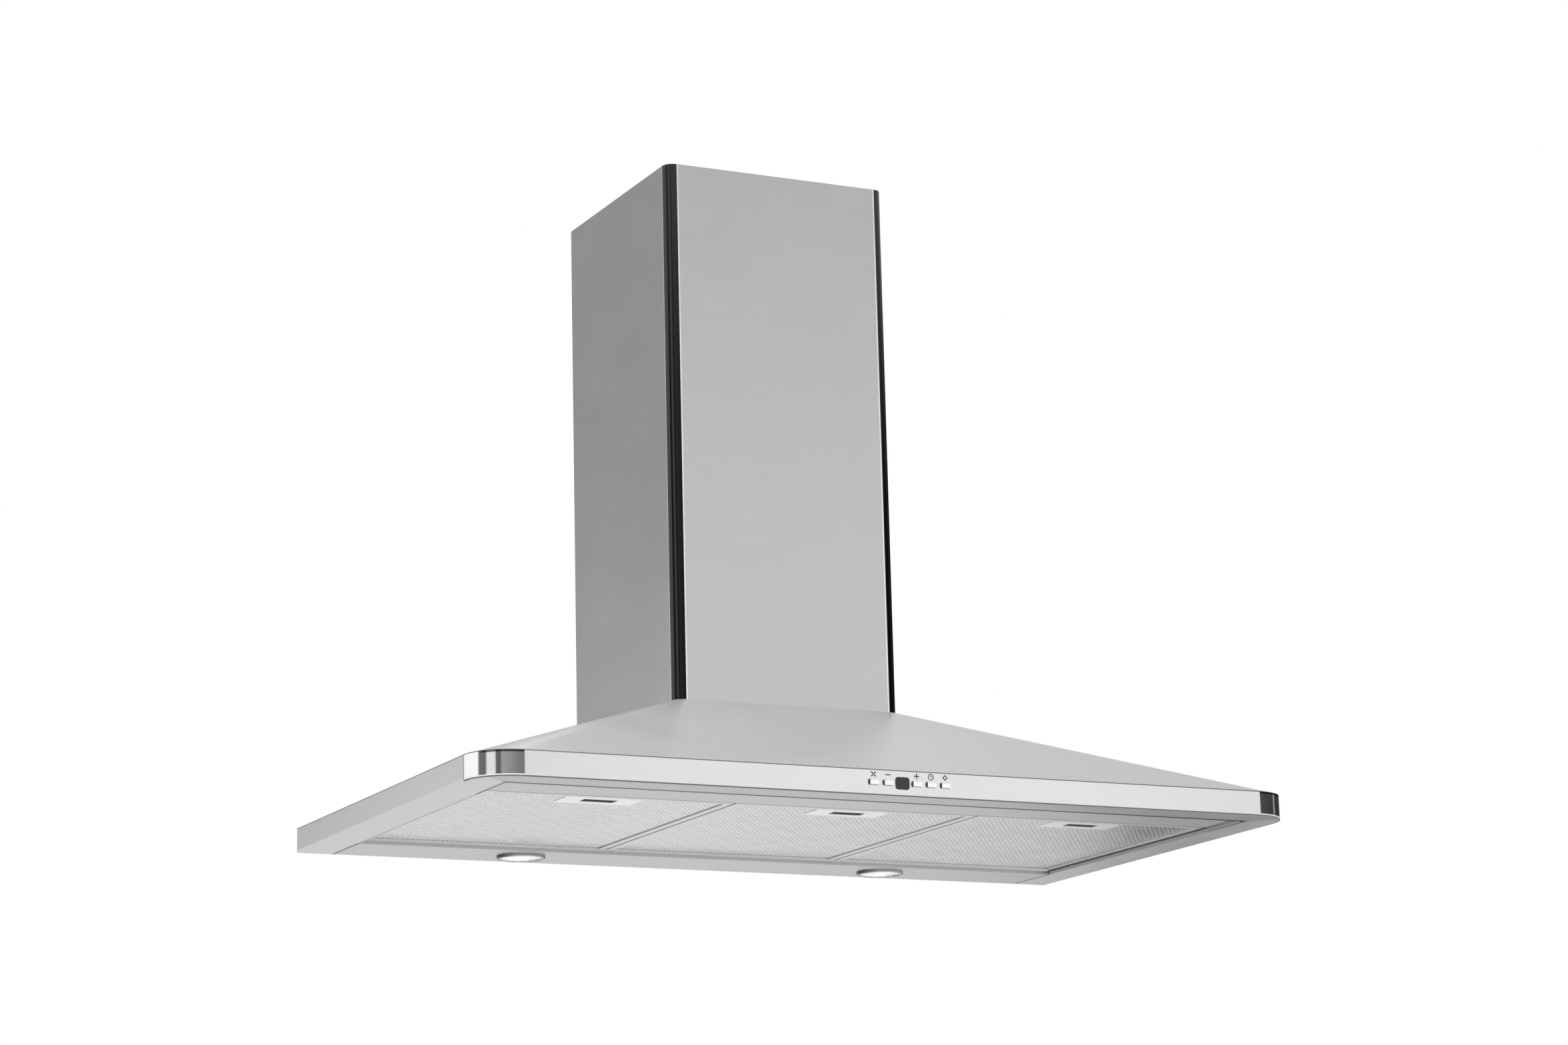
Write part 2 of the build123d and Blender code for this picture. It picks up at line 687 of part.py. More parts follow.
for number, x in enumerate(button_x, start=1):
    with BuildPart() as button:
        with BuildSketch(front_face.offset(BUTTON_PROUD)):
            with Locations((x, control_z)):
                RectangleRounded(button_width, BUTTON_HEIGHT, BUTTON_ROUND)
        extrude(amount=-(BUTTON_PROUD + button_flange_y))
        chamfer(button.edges().group_by(Axis.Y)[0], BUTTON_CLEARANCE)
        with BuildSketch(front_face.offset(-button_flange_y)):
            with Locations((x, control_z)):
                RectangleRounded(
                    button_width + 2 * BUTTON_FLANGE,
                    BUTTON_HEIGHT + 2 * BUTTON_FLANGE,
                    BUTTON_ROUND + BUTTON_FLANGE,
                )
        extrude(amount=-FLANGE_THICKNESS)
        with BuildSketch(front_face.offset(-button_flange_y)):
            with Locations((x, control_z)):
                Circle(BUTTON_STEM / 2)
        extrude(amount=-stem_length)
    write(button, f"button_{number}")


# Chimney covers: U-shaped sheets with rounded front corners and two flanges at the wall.
def chimney_cover(inset, bottom, top):
    """A chimney cover set in by the given distance all round, open along the wall."""
    half = chimney_half - inset
    front = -CHIMNEY_DEPTH + inset
    radius = CHIMNEY_CORNER_RADIUS - inset
    with BuildPart() as cover:
        extrude(to_extrude=rounded_plan(half, front, -inset, radius, bottom), amount=top - bottom)
        extrude(
            to_extrude=rounded_plan(half - SHEET, front + SHEET, -inset - SHEET, radius - SHEET, bottom),
            amount=top - bottom,
            mode=Mode.SUBTRACT,
        )
        block(
            around(0, 2 * (half - CHIMNEY_BACK_FLANGE)),
            (-inset - SHEET, -inset),
            (bottom, top),
            mode=Mode.SUBTRACT,
        )
    return cover


lower_chimney = chimney_cover(0, seat_z, chimney_top)
write(lower_chimney, "lower_chimney")

# Upper chimney: slides up out of the lower one and is screwed to a bracket on the wall.
upper_top = chimney_top - UPPER_CHIMNEY_SETBACK
upper_half = chimney_half - upper_inset
bracket_z = (upper_top - BRACKET_DROP - BRACKET_HEIGHT, upper_top - BRACKET_DROP)
bracket_mid_z = (bracket_z[0] + bracket_z[1]) / 2
ear_outer_x = upper_half - SHEET
leg_x = upper_half - CHIMNEY_BACK_FLANGE - BRACKET_SIDE_GAP
step_y = -upper_inset - BRACKET_STEP
ear_screw_places = [
    (step_y - BRACKET_EAR / 2, bracket_mid_z + offset_z)
    for offset_z in (-BRACKET_HEIGHT / 4, BRACKET_HEIGHT / 4)
]
upper_shell = chimney_cover(upper_inset, seat_z + MOVING_GAP, upper_top)

with BuildPart() as upper_chimney:
    add(upper_shell.part)
    with BuildSketch(Plane.YZ.offset(-upper_half)):
        with Locations(ear_screw_places):
            Circle(SCREW_RADIUS)
    extrude(amount=2 * upper_half, mode=Mode.SUBTRACT)
write(upper_chimney, "upper_chimney")

with BuildPart() as wall_bracket:
    block(around(0, 2 * leg_x), (-BRACKET_SHEET, 0), bracket_z)
    for side in (-1, 1):
        leg_limits = sorted((side * leg_x, side * (leg_x - BRACKET_SHEET)))
        step_limits = sorted((side * (leg_x - BRACKET_SHEET), side * ear_outer_x))
        ear_limits = sorted((side * (ear_outer_x - BRACKET_SHEET), side * ear_outer_x))
        block(leg_limits, (step_y, 0), bracket_z)
        block(step_limits, (step_y - BRACKET_SHEET, step_y), bracket_z)
        block(ear_limits, (step_y - BRACKET_EAR, step_y), bracket_z)
    with BuildSketch(Plane.XZ):
        with Locations((0, bracket_mid_z)):
            with GridLocations(BRACKET_HOLE_SPACING, 0, 2, 1):
                Circle(BRACKET_HOLE_RADIUS)
    extrude(amount=BRACKET_SHEET, mode=Mode.SUBTRACT)
    with BuildSketch(Plane.YZ.offset(-ear_outer_x)):
        with Locations(ear_screw_places):
            Circle(SCREW_RADIUS)
    extrude(amount=2 * ear_outer_x, mode=Mode.SUBTRACT)
write(wall_bracket, "wall_bracket")

with BuildPart() as right_chimney_screws:
    with Locations(Plane.YZ.offset(upper_half)):
        with Locations(ear_screw_places):
            pan_screw(SHEET + BRACKET_SHEET)

with BuildPart() as chimney_screws:
    add(right_chimney_screws.part)
    mirror(right_chimney_screws.part, about=Plane.YZ)
write(chimney_screws, "chimney_screws")

# Blower housing: a scroll in two halves, joined at mid width, with an inlet in each side.
scroll_start = IMPELLER_RADIUS + SCROLL_START_GAP
half_step = SCROLL_STEP / 2
blower_y = chimney_mid_y - SCROLL_STEP
blower_z = seat_z + BLOWER_LIFT + scroll_start + SCROLL_STEP + half_step
outlet_z = blower_z + OUTLET_HEIGHT
outlet_front = blower_y - half_step
outlet_rear = blower_y + half_step + scroll_start + 2 * SCROLL_STEP
fan_plane = Plane((0, blower_y, blower_z), x_dir=(0, 1, 0), z_dir=(1, 0, 0))


def scroll_profile(inset):
    """Side profile of the scroll: three growing quarter arcs and the straight outlet."""
    arc_top = scroll_start - half_step - inset
    rear = outlet_rear - blower_y - inset
    with BuildSketch(fan_plane) as profile:
        with BuildLine():
            CenterArc((-half_step, -half_step), scroll_start - inset, 90, 90)
            CenterArc((half_step, -half_step), scroll_start + SCROLL_STEP - inset, 180, 90)
            CenterArc((half_step, half_step), scroll_start + 2 * SCROLL_STEP - inset, 270, 90)
            Polyline((rear, half_step), (rear, arc_top), (-half_step, arc_top))
        make_face()
        with Locations((inset - half_step, 0)):
            Rectangle(rear + half_step - inset, OUTLET_HEIGHT, align=Align.MIN)
    return profile.sketch


with BuildPart() as scroll_half_shell:
    extrude(to_extrude=scroll_profile(0), amount=scroll_half)
    extrude(to_extrude=scroll_profile(SHEET), amount=scroll_half - SHEET, mode=Mode.SUBTRACT)
    with BuildSketch(fan_plane.offset(scroll_half)):
        Circle(INLET_RADIUS)
    extrude(amount=-SHEET, mode=Mode.SUBTRACT)

motor_screw_circle = INLET_RADIUS + MOTOR_ARM_REACH / 2

with BuildPart() as blower_housing_right:
    add(scroll_half_shell.part)
    with BuildSketch(fan_plane.offset(scroll_half)):
        with PolarLocations(motor_screw_circle, 3, start_angle=90):
            Circle(SCREW_RADIUS)
    extrude(amount=-SHEET, mode=Mode.SUBTRACT)
write(blower_housing_right, "blower_housing_right")

with BuildPart() as blower_housing_left:
    mirror(scroll_half_shell.part, about=Plane.YZ)
write(blower_housing_left, "blower_housing_left")

# Motor and fan: the motor hangs on a three-armed bracket inside the fan's right half.
motor_start = FAN_DISC / 2 + MOTOR_FAN_GAP
shaft_start = FAN_DISC / 2 - HUB_LENGTH

with BuildPart(fan_plane) as motor_bracket:
    with BuildSketch(fan_plane.offset(scroll_half)):
        Circle(MOTOR_RADIUS)
        with PolarLocations(0, 3, start_angle=90):
            Rectangle(INLET_RADIUS + MOTOR_ARM_REACH, MOTOR_ARM_WIDTH, align=(Align.MIN, Align.CENTER))
        with PolarLocations(motor_screw_circle, 3, start_angle=90):
            Circle(SCREW_RADIUS, mode=Mode.SUBTRACT)
    extrude(amount=BRACKET_SHEET)
write(motor_bracket, "motor_bracket")

with BuildPart(fan_plane.offset(scroll_half + BRACKET_SHEET)) as motor_screws:
    with PolarLocations(motor_screw_circle, 3, start_angle=90):
        pan_screw(BRACKET_SHEET + SHEET)
write(motor_screws, "motor_screws")

with BuildPart() as motor_body:
    with BuildSketch(fan_plane.offset(motor_start)):
        Circle(MOTOR_RADIUS)
    extrude(amount=scroll_half - motor_start)
    fillet(motor_body.edges().group_by(Axis.X)[0], HUB_RADIUS / 2)
    with BuildSketch(fan_plane.offset(motor_start)):
        Circle(SHAFT_RADIUS + RUN_CLEARANCE)
    extrude(amount=shaft_start + SHAFT_LENGTH + MOVING_GAP - motor_start, mode=Mode.SUBTRACT)
write(motor_body, "motor_body")

with BuildPart() as motor_shaft:
    with BuildSketch(fan_plane.offset(shaft_start)):
        Circle(SHAFT_RADIUS)
    extrude(amount=SHAFT_LENGTH)
write(motor_shaft, "motor_shaft")

with BuildPart() as impeller:
    with BuildSketch(fan_plane.offset(-FAN_DISC / 2)):
        Circle(IMPELLER_RADIUS)
    extrude(amount=FAN_DISC)
    with BuildSketch(fan_plane.offset(shaft_start)):
        Circle(HUB_RADIUS)
    extrude(amount=HUB_LENGTH)
    for ring_start in (-IMPELLER_WIDTH / 2, IMPELLER_WIDTH / 2 - IMPELLER_RING):
        with BuildSketch(fan_plane.offset(ring_start)):
            Circle(IMPELLER_RADIUS)
            Circle(IMPELLER_RADIUS - BLADE_RING_DEPTH, mode=Mode.SUBTRACT)
        extrude(amount=IMPELLER_RING)
    with BuildSketch(fan_plane.offset(-IMPELLER_WIDTH / 2)):
        with PolarLocations(IMPELLER_RADIUS - BLADE_RING_DEPTH / 2, BLADE_COUNT):
            Rectangle(BLADE_CHORD, BLADE_THICKNESS, rotation=BLADE_ANGLE)
    extrude(amount=IMPELLER_WIDTH)
    with BuildSketch(fan_plane.offset(shaft_start)):
        Circle(SHAFT_RADIUS)
    extrude(amount=HUB_LENGTH, mode=Mode.SUBTRACT)
write(impeller, "impeller")

# Blower brackets: two angles across the air opening that carry the housing by its sides.
with BuildPart() as blower_bracket_right:
    block(
        (scroll_half, scroll_half + BRACKET_SHEET),
        bracket_foot_y,
        (seat_z, seat_z + BLOWER_BRACKET_HEIGHT),
    )
    block(
        (scroll_half, scroll_half + BRACKET_SHEET + BLOWER_BRACKET_FOOT),
        bracket_foot_y,
        (seat_z, seat_z + BRACKET_SHEET),
    )
    with BuildSketch(Plane.XY.offset(seat_z)):
        with Locations(bracket_screw_places):
            Circle(SCREW_RADIUS)
    extrude(amount=BRACKET_SHEET, mode=Mode.SUBTRACT)
write(blower_bracket_right, "blower_bracket_right")

with BuildPart() as blower_bracket_left:
    mirror(blower_bracket_right.part, about=Plane.YZ)
write(blower_bracket_left, "blower_bracket_left")

with BuildPart(Plane.XY.offset(seat_z + BRACKET_SHEET)) as bracket_screws:
    with Locations(bracket_screw_places):
        pan_screw(BRACKET_SHEET + canopy_drop)
write(bracket_screws, "bracket_screws")

# Outlet adaptor: a box over the scroll's outlet with the round duct collar on top.
duct_y = chimney_mid_y
collar_inner = DUCT_RADIUS - COLLAR_WALL
plenum_half = max(scroll_half, DUCT_RADIUS + PLENUM_MARGIN)
plenum_front = min(outlet_front, duct_y - DUCT_RADIUS - PLENUM_MARGIN)
plenum_rear = max(outlet_rear, duct_y + DUCT_RADIUS + PLENUM_MARGIN)
plenum_top = outlet_z + PLENUM_HEIGHT
ledge_top = plenum_top + FLAP_LEDGE_HEIGHT
barrel_bore = FLAP_ROD_RADIUS + RUN_CLEARANCE
barrel_outer = barrel_bore + FLAP_BARREL_WALL
flap_rod_z = ledge_top + MOVING_GAP + barrel_outer
duct_plane = Plane((0, duct_y, 0))
flap_rod_plane = Plane((0, duct_y, flap_rod_z), x_dir=(0, 1, 0), z_dir=(1, 0, 0))
flap_rod_half = DUCT_RADIUS - SEAM_GAP

with BuildPart() as outlet_adaptor:
    block((-plenum_half, plenum_half), (plenum_front, plenum_rear), (outlet_z, plenum_top))
    block(
        (-plenum_half + SHEET, plenum_half - SHEET),
        (plenum_front + SHEET, plenum_rear - SHEET),
        (outlet_z + SHEET, plenum_top - SHEET),
        mode=Mode.SUBTRACT,
    )
    block(
        (-scroll_half + SHEET, scroll_half - SHEET),
        (outlet_front + SHEET, outlet_rear - SHEET),
        (outlet_z, outlet_z + SHEET),
        mode=Mode.SUBTRACT,
    )
    with BuildSketch(duct_plane.offset(plenum_top - SHEET)):
        Circle(DUCT_RADIUS)
    extrude(amount=COLLAR_HEIGHT + SHEET)
    with BuildSketch(duct_plane.offset(plenum_top - SHEET)):
        Circle(collar_inner)
    extrude(amount=COLLAR_HEIGHT + SHEET, mode=Mode.SUBTRACT)
    with BuildSketch(duct_plane.offset(ledge_top - COLLAR_WALL)):
        Circle(DUCT_RADIUS - COLLAR_WALL / 2)
        Circle(collar_inner - FLAP_LEDGE, mode=Mode.SUBTRACT)
    extrude(amount=COLLAR_WALL)
    with BuildSketch(flap_rod_plane.offset(-flap_rod_half)):
        Circle(FLAP_ROD_RADIUS)
    extrude(amount=2 * flap_rod_half, mode=Mode.SUBTRACT)
write(outlet_adaptor, "outlet_adaptor")

with BuildPart() as flap_rod:
    with BuildSketch(flap_rod_plane.offset(-flap_rod_half)):
        Circle(FLAP_ROD_RADIUS)
    extrude(amount=2 * flap_rod_half)
write(flap_rod, "flap_rod")

# Backdraught flaps: two half discs whose knuckles alternate along the rod.
flap_bottom = flap_rod_z - barrel_outer
flap_radius = collar_inner - FLAP_EDGE_GAP
flap_start = barrel_outer + MOVING_GAP


def build_flap(name, side, knuckle_places):
    """One half disc on the given side of the rod, hung on knuckles at the given places."""
    with BuildPart() as flap:
        with BuildSketch(duct_plane.offset(flap_bottom)):
            Circle(flap_radius)
            with Locations((0, -side * (flap_radius - flap_start))):
                Rectangle(2 * flap_radius, 2 * flap_radius, mode=Mode.SUBTRACT)
            with Locations([(x, side * flap_start / 2) for x in knuckle_places]):
                Rectangle(FLAP_KNUCKLE_LENGTH, flap_start)
        extrude(amount=FLAP_THICKNESS)
        for x in knuckle_places:
            with BuildSketch(flap_rod_plane.offset(x - FLAP_KNUCKLE_LENGTH / 2)):
                Circle(barrel_outer)
            extrude(amount=FLAP_KNUCKLE_LENGTH)
            with BuildSketch(flap_rod_plane.offset(x - FLAP_KNUCKLE_LENGTH / 2)):
                Circle(barrel_bore)
            extrude(amount=FLAP_KNUCKLE_LENGTH, mode=Mode.SUBTRACT)
    write(flap, name)


build_flap("flap_front", -1, [-FLAP_KNUCKLE_OFFSET, FLAP_KNUCKLE_OFFSET])
build_flap("flap_rear", 1, [-2 * FLAP_KNUCKLE_OFFSET, 2 * FLAP_KNUCKLE_OFFSET])

# Terminal box on the adaptor's left side, with its cover and the gland for the supply cable.
terminal_rear_x = -plenum_half
terminal_front_x = TERMINAL_SIDE_GAP + TERMINAL_WALL + SHEET - upper_half
terminal_mid_x = (terminal_rear_x + terminal_front_x) / 2
terminal_y = around(duct_y, TERMINAL_LENGTH)
terminal_top = plenum_top
terminal_bottom = terminal_top - TERMINAL_HEIGHT
gland_place = (terminal_mid_x, duct_y)

with BuildPart() as terminal_box:
    block((terminal_front_x, terminal_rear_x), terminal_y, (terminal_bottom, terminal_top))
    block(
        (terminal_front_x, terminal_rear_x - TERMINAL_WALL),
        (terminal_y[0] + TERMINAL_WALL, terminal_y[1] - TERMINAL_WALL),
        (terminal_bottom + TERMINAL_WALL, terminal_top - TERMINAL_WALL),
        mode=Mode.SUBTRACT,
    )
    with BuildSketch(Plane.XY.offset(terminal_top)):
        with Locations(gland_place):
            Circle(GLAND_NECK_RADIUS)
    extrude(amount=-TERMINAL_WALL, mode=Mode.SUBTRACT)
write(terminal_box, "terminal_box")

with BuildPart() as terminal_cover:
    block(
        (terminal_front_x - TERMINAL_WALL, terminal_front_x),
        terminal_y,
        (terminal_bottom, terminal_top),
    )
    block(
        (terminal_front_x, terminal_front_x + TERMINAL_WALL),
        (terminal_y[0] + 2 * TERMINAL_WALL, terminal_y[1] - 2 * TERMINAL_WALL),
        (terminal_bottom + 2 * TERMINAL_WALL, terminal_top - 2 * TERMINAL_WALL),
    )
write(terminal_cover, "terminal_cover")

with BuildPart() as cable_gland:
    with BuildSketch(Plane.XY.offset(terminal_top)):
        with Locations(gland_place):
            RegularPolygon(GLAND_RADIUS, 6)
    extrude(amount=GLAND_HEIGHT / 2)
    with BuildSketch(Plane.XY.offset(terminal_top - 2 * TERMINAL_WALL)):
        with Locations(gland_place):
            Circle(GLAND_NECK_RADIUS)
    extrude(amount=GLAND_HEIGHT + 2 * TERMINAL_WALL)
    with BuildSketch(Plane.XY.offset(terminal_top - 2 * TERMINAL_WALL)):
        with Locations(gland_place):
            Circle(GLAND_BORE_RADIUS)
    extrude(amount=GLAND_HEIGHT + 2 * TERMINAL_WALL, mode=Mode.SUBTRACT)
write(cable_gland, "cable_gland")

# Capacitor: a can on a moulded foot against the adaptor's right side.
capacitor_x = plenum_half + CAPACITOR_RADIUS
capacitor_z = outlet_z + PLENUM_HEIGHT / 2
capacitor_plane = Plane.XZ.offset(-duct_y - CAPACITOR_LENGTH / 2)

with BuildPart() as capacitor:
    with BuildSketch(capacitor_plane):
        with Locations((capacitor_x, capacitor_z)):
            Circle(CAPACITOR_RADIUS)
    extrude(amount=CAPACITOR_LENGTH)
    block(
        (plenum_half, capacitor_x),
        around(duct_y, CAPACITOR_FOOT),
        around(capacitor_z, CAPACITOR_FOOT),
    )
write(capacitor, "capacitor")


# Inner leads: from each lamp and from the controls to the underside of the terminal box.
def build_lead(name, points, exit_direction):
    """A round cable along straight runs with rounded bends."""
    with BuildPart() as lead:
        with BuildLine() as route:
            FilletPolyline(*points, radius=LEAD_BEND_RADIUS)
        with BuildSketch(Plane(points[0], z_dir=exit_direction)):
            Circle(LEAD_RADIUS)
        sweep(path=route.wires()[0])
    write(lead, name)


left_lamp, right_lamp = lamp_places
lead_level = (lamp_boss_top + seat_z) / 2
lead_entry_x = LEAD_EDGE_GAP - air_opening_half

for name, (lamp_x, lamp_y), place, level in (
    ("lamp_lead_left", left_lamp, 1, lead_level - LEAD_SPACING / 2),
    ("lamp_lead_right", right_lamp, 0, lead_level + LEAD_SPACING / 2),
):
    entry_y = duct_y + place * LEAD_SPACING
    build_lead(
        name,
        [
            (lamp_x, lamp_y, lamp_boss_top),
            (lamp_x, lamp_y, level),
            (lead_entry_x, entry_y, level),
            (lead_entry_x, entry_y, terminal_bottom),
        ],
        (0, 0, 1),
    )

control_entry_y = duct_y - LEAD_SPACING
lead_rise_y = box_rear + LEAD_SPACING
slope_start_y = lead_rise_y + LEAD_BEND_RADIUS
slope_end_y = -CHIMNEY_DEPTH
lead_depth = canopy_drop + 2 * LEAD_RADIUS


def under_slope(y):
    """Height of a lead that runs just under the canopy's front slope at the given place."""
    return BAND_HEIGHT + CANOPY_RISE * (y - canopy_front) / front_run - lead_depth


build_lead(
    "control_lead",
    [
        (control_lead_x, box_rear, control_lead_z),
        (control_lead_x, lead_rise_y, control_lead_z),
        (control_lead_x, slope_start_y, under_slope(slope_start_y)),
        (control_lead_x, slope_end_y, under_slope(slope_end_y)),
        (lead_entry_x, control_entry_y, under_slope(slope_end_y)),
        (lead_entry_x, control_entry_y, terminal_bottom),
    ],
    (0, 1, 0),
)
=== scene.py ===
from math import cos, pi, radians, sin

import bmesh
import bpy
from mathutils import Matrix, Vector


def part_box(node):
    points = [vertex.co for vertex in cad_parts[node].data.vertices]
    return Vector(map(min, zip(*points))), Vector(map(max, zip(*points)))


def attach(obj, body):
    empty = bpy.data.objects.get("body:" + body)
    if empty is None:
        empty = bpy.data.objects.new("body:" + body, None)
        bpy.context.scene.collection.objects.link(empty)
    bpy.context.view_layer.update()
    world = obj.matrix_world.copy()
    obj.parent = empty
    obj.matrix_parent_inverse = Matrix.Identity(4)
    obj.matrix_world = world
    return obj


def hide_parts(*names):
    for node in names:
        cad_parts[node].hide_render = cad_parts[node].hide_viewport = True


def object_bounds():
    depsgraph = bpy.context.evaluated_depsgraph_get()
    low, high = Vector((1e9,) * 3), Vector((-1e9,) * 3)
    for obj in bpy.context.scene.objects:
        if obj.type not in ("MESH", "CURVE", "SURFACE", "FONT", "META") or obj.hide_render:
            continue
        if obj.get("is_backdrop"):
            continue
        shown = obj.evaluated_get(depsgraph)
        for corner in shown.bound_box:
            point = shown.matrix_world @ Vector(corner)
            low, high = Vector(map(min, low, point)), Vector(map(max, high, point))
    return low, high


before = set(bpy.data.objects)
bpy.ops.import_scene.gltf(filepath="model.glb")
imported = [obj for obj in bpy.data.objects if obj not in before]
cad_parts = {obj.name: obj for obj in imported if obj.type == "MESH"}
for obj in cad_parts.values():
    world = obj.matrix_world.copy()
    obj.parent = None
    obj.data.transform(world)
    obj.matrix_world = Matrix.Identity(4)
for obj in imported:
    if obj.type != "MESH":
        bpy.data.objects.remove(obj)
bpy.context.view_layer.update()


# Canopy shell: three sloping stainless sheets and the chimney's seat, welded along the hips.
# The welds are ground flush and the steel is brushed across the width of the hood.
# It stands on the bands below and carries the chimney covers.
def connect(tree, node, inputs):
    """Fills a node's inputs, with a link where a value comes from another node."""
    for name, value in inputs.items():
        if isinstance(value, bpy.types.NodeSocket):
            tree.links.new(value, node.inputs[name])
        else:
            node.inputs[name].default_value = value


def add_node(tree, kind, inputs=None, **settings):
    """Adds a shader node, sets its options and fills its inputs."""
    node = tree.nodes.new(kind)
    for name, value in settings.items():
        setattr(node, name, value)
    connect(tree, node, inputs or {})
    return node


def new_group(name, inputs, outputs):
    """Starts a shader node group and returns its tree, its inputs and its output node."""
    tree = bpy.data.node_groups.new(name, "ShaderNodeTree")
    for label, value in inputs.items():
        socket = tree.interface.new_socket(label, in_out="INPUT", socket_type="NodeSocketFloat")
        socket.default_value = value
    for label in outputs:
        tree.interface.new_socket(label, in_out="OUTPUT", socket_type="NodeSocketFloat")
    return tree, tree.nodes.new("NodeGroupInput").outputs, tree.nodes.new("NodeGroupOutput")


def math_value(tree, operation, first, *others):
    """The result of one kind of sum, over one value or over several in turn."""
    for other in others or (0.0,):
        node = add_node(tree, "ShaderNodeMath", {0: first, 1: other}, operation=operation)
        first = node.outputs[0]
    return first


RISING, FALLING = (0.0, 1.0), (1.0, 0.0)


def spread(tree, value, span, result):
    """A value taken from the range span into the range result, and held at its ends."""
    limits = {"From Min": span[0], "From Max": span[1], "To Min": result[0], "To Max": result[1]}
    return add_node(tree, "ShaderNodeMapRange", {"Value": value, **limits}).outputs["Result"]


def tinted(tree, colour, tone):
    """A colour made lighter and darker by a tone round 1."""
    inputs = {0: 1.0, 6: colour, 7: tone}
    node = add_node(tree, "ShaderNodeMix", inputs, data_type="RGBA", blend_type="MULTIPLY")
    return node.outputs[2]


def vector_math(tree, operation, first, second=(0.0, 0.0, 0.0)):
    """A shader node with the result of one sum on two vectors."""
    return add_node(tree, "ShaderNodeVectorMath", {0: first, 1: second}, operation=operation)


NOISE_ROUGHNESS = 0.62


def noise(tree, place, stretch, detail):
    """Cloudy noise over places stretched by three factors."""
    inputs = {
        "Vector": vector_math(tree, "MULTIPLY", place, stretch).outputs[0],
        "Scale": 1.0,
        "Detail": detail,
        "Roughness": NOISE_ROUGHNESS,
    }
    return add_node(tree, "ShaderNodeTexNoise", inputs).outputs[0]


def mixed_value(tree, mask, first, second):
    """The first value where the mask is 0 and the second where it is 1."""
    return add_node(tree, "ShaderNodeMix", {0: mask, 2: first, 3: second}).outputs[0]


def surface_place(tree, kind="Object"):
    """The place on a surface: in metres, or with Generated as shares of the piece's box."""
    return add_node(tree, "ShaderNodeTexCoord").outputs[kind]


def facing(tree, axis, kind="Normal"):
    """How far a surface faces along X, Y or Z."""
    normal = add_node(tree, "ShaderNodeNewGeometry").outputs[kind]
    return add_node(tree, "ShaderNodeSeparateXYZ", {0: normal}).outputs[axis]


LINES_ACROSS, LINES_ALONG = 1800.0, 3.0
LEVEL_FACE = (0.5, 0.7)
NOISE_MIDDLE = 0.5
SMUDGE_STRETCH, SMUDGE_STRENGTH = (7.0, 7.0, 11.0), 0.12
STREAK_TONE, SMUDGE_TONE = 4.0, 0.5


def brushed_grain():
    """Fine brush lines: level ones on upright faces, and ones along the width on level faces."""
    inputs, outputs = {"Strength": 0.06, "Roughness": 0.3}, ["Tone", "Roughness", "Height"]
    tree, given, result = new_group("Brushed grain", inputs, outputs)
    place = surface_place(tree)
    level = spread(tree, math_value(tree, "ABSOLUTE", facing(tree, "Z")), LEVEL_FACE, RISING)
    upright_lines = noise(tree, place, (LINES_ALONG, LINES_ALONG, LINES_ACROSS), detail=3.0)
    level_lines = noise(tree, place, (LINES_ALONG, LINES_ACROSS, LINES_ALONG), detail=3.0)
    lines = mixed_value(tree, level, upright_lines, level_lines)
    clouds = noise(tree, place, SMUDGE_STRETCH, detail=4.0)
    off_lines = math_value(tree, "SUBTRACT", lines, NOISE_MIDDLE)
    off_clouds = math_value(tree, "SUBTRACT", clouds, NOISE_MIDDLE)
    streaks = math_value(tree, "MULTIPLY", off_lines, given["Strength"])
    smudges = math_value(tree, "MULTIPLY", off_clouds, SMUDGE_STRENGTH)
    streak_tone = math_value(tree, "MULTIPLY", streaks, STREAK_TONE)
    smudge_tone = math_value(tree, "MULTIPLY", smudges, SMUDGE_TONE)
    connect(tree, result, {
        "Tone": math_value(tree, "ADD", streak_tone, 1.0, smudge_tone),
        "Roughness": math_value(tree, "ADD", given["Roughness"], smudges, streaks),
        "Height": lines,
    })
    return tree


BRUSHED_GRAIN = brushed_grain()


def new_material(name):
    """Starts a material and returns it with its tree and its shader."""
    material = bpy.data.materials.new(name)
    material.use_nodes = True
    tree = material.node_tree
    return material, tree, tree.nodes["Principled BSDF"]


def use_group(tree, group, **values):
    """Places a node group in a material, with its own values."""
    node = tree.nodes.new("ShaderNodeGroup")
    node.node_tree = group
    for label, value in values.items():
        node.inputs[label.replace("_", " ")].default_value = value
    return node.outputs


def add_bump(tree, shader, height, strength, distance):
    """Turns a height into small relief on a shader, on top of any relief that it has."""
    inputs = {"Height": height, "Strength": strength, "Distance": distance}
    bump = add_node(tree, "ShaderNodeBump", inputs)
    for link in shader.inputs["Normal"].links:
        tree.links.new(link.from_socket, bump.inputs["Normal"])
    tree.links.new(bump.outputs["Normal"], shader.inputs["Normal"])


def grey(level):
    """A neutral colour, hardly on the cool side."""
    return (level * 0.998, level, level * 1.002, 1.0)


BRUSH_STRENGTH = 0.03
BRUSH_DEPTH = 0.0002
BRUSH_TURN = {"Y": 0.05, "Z": 1.0}


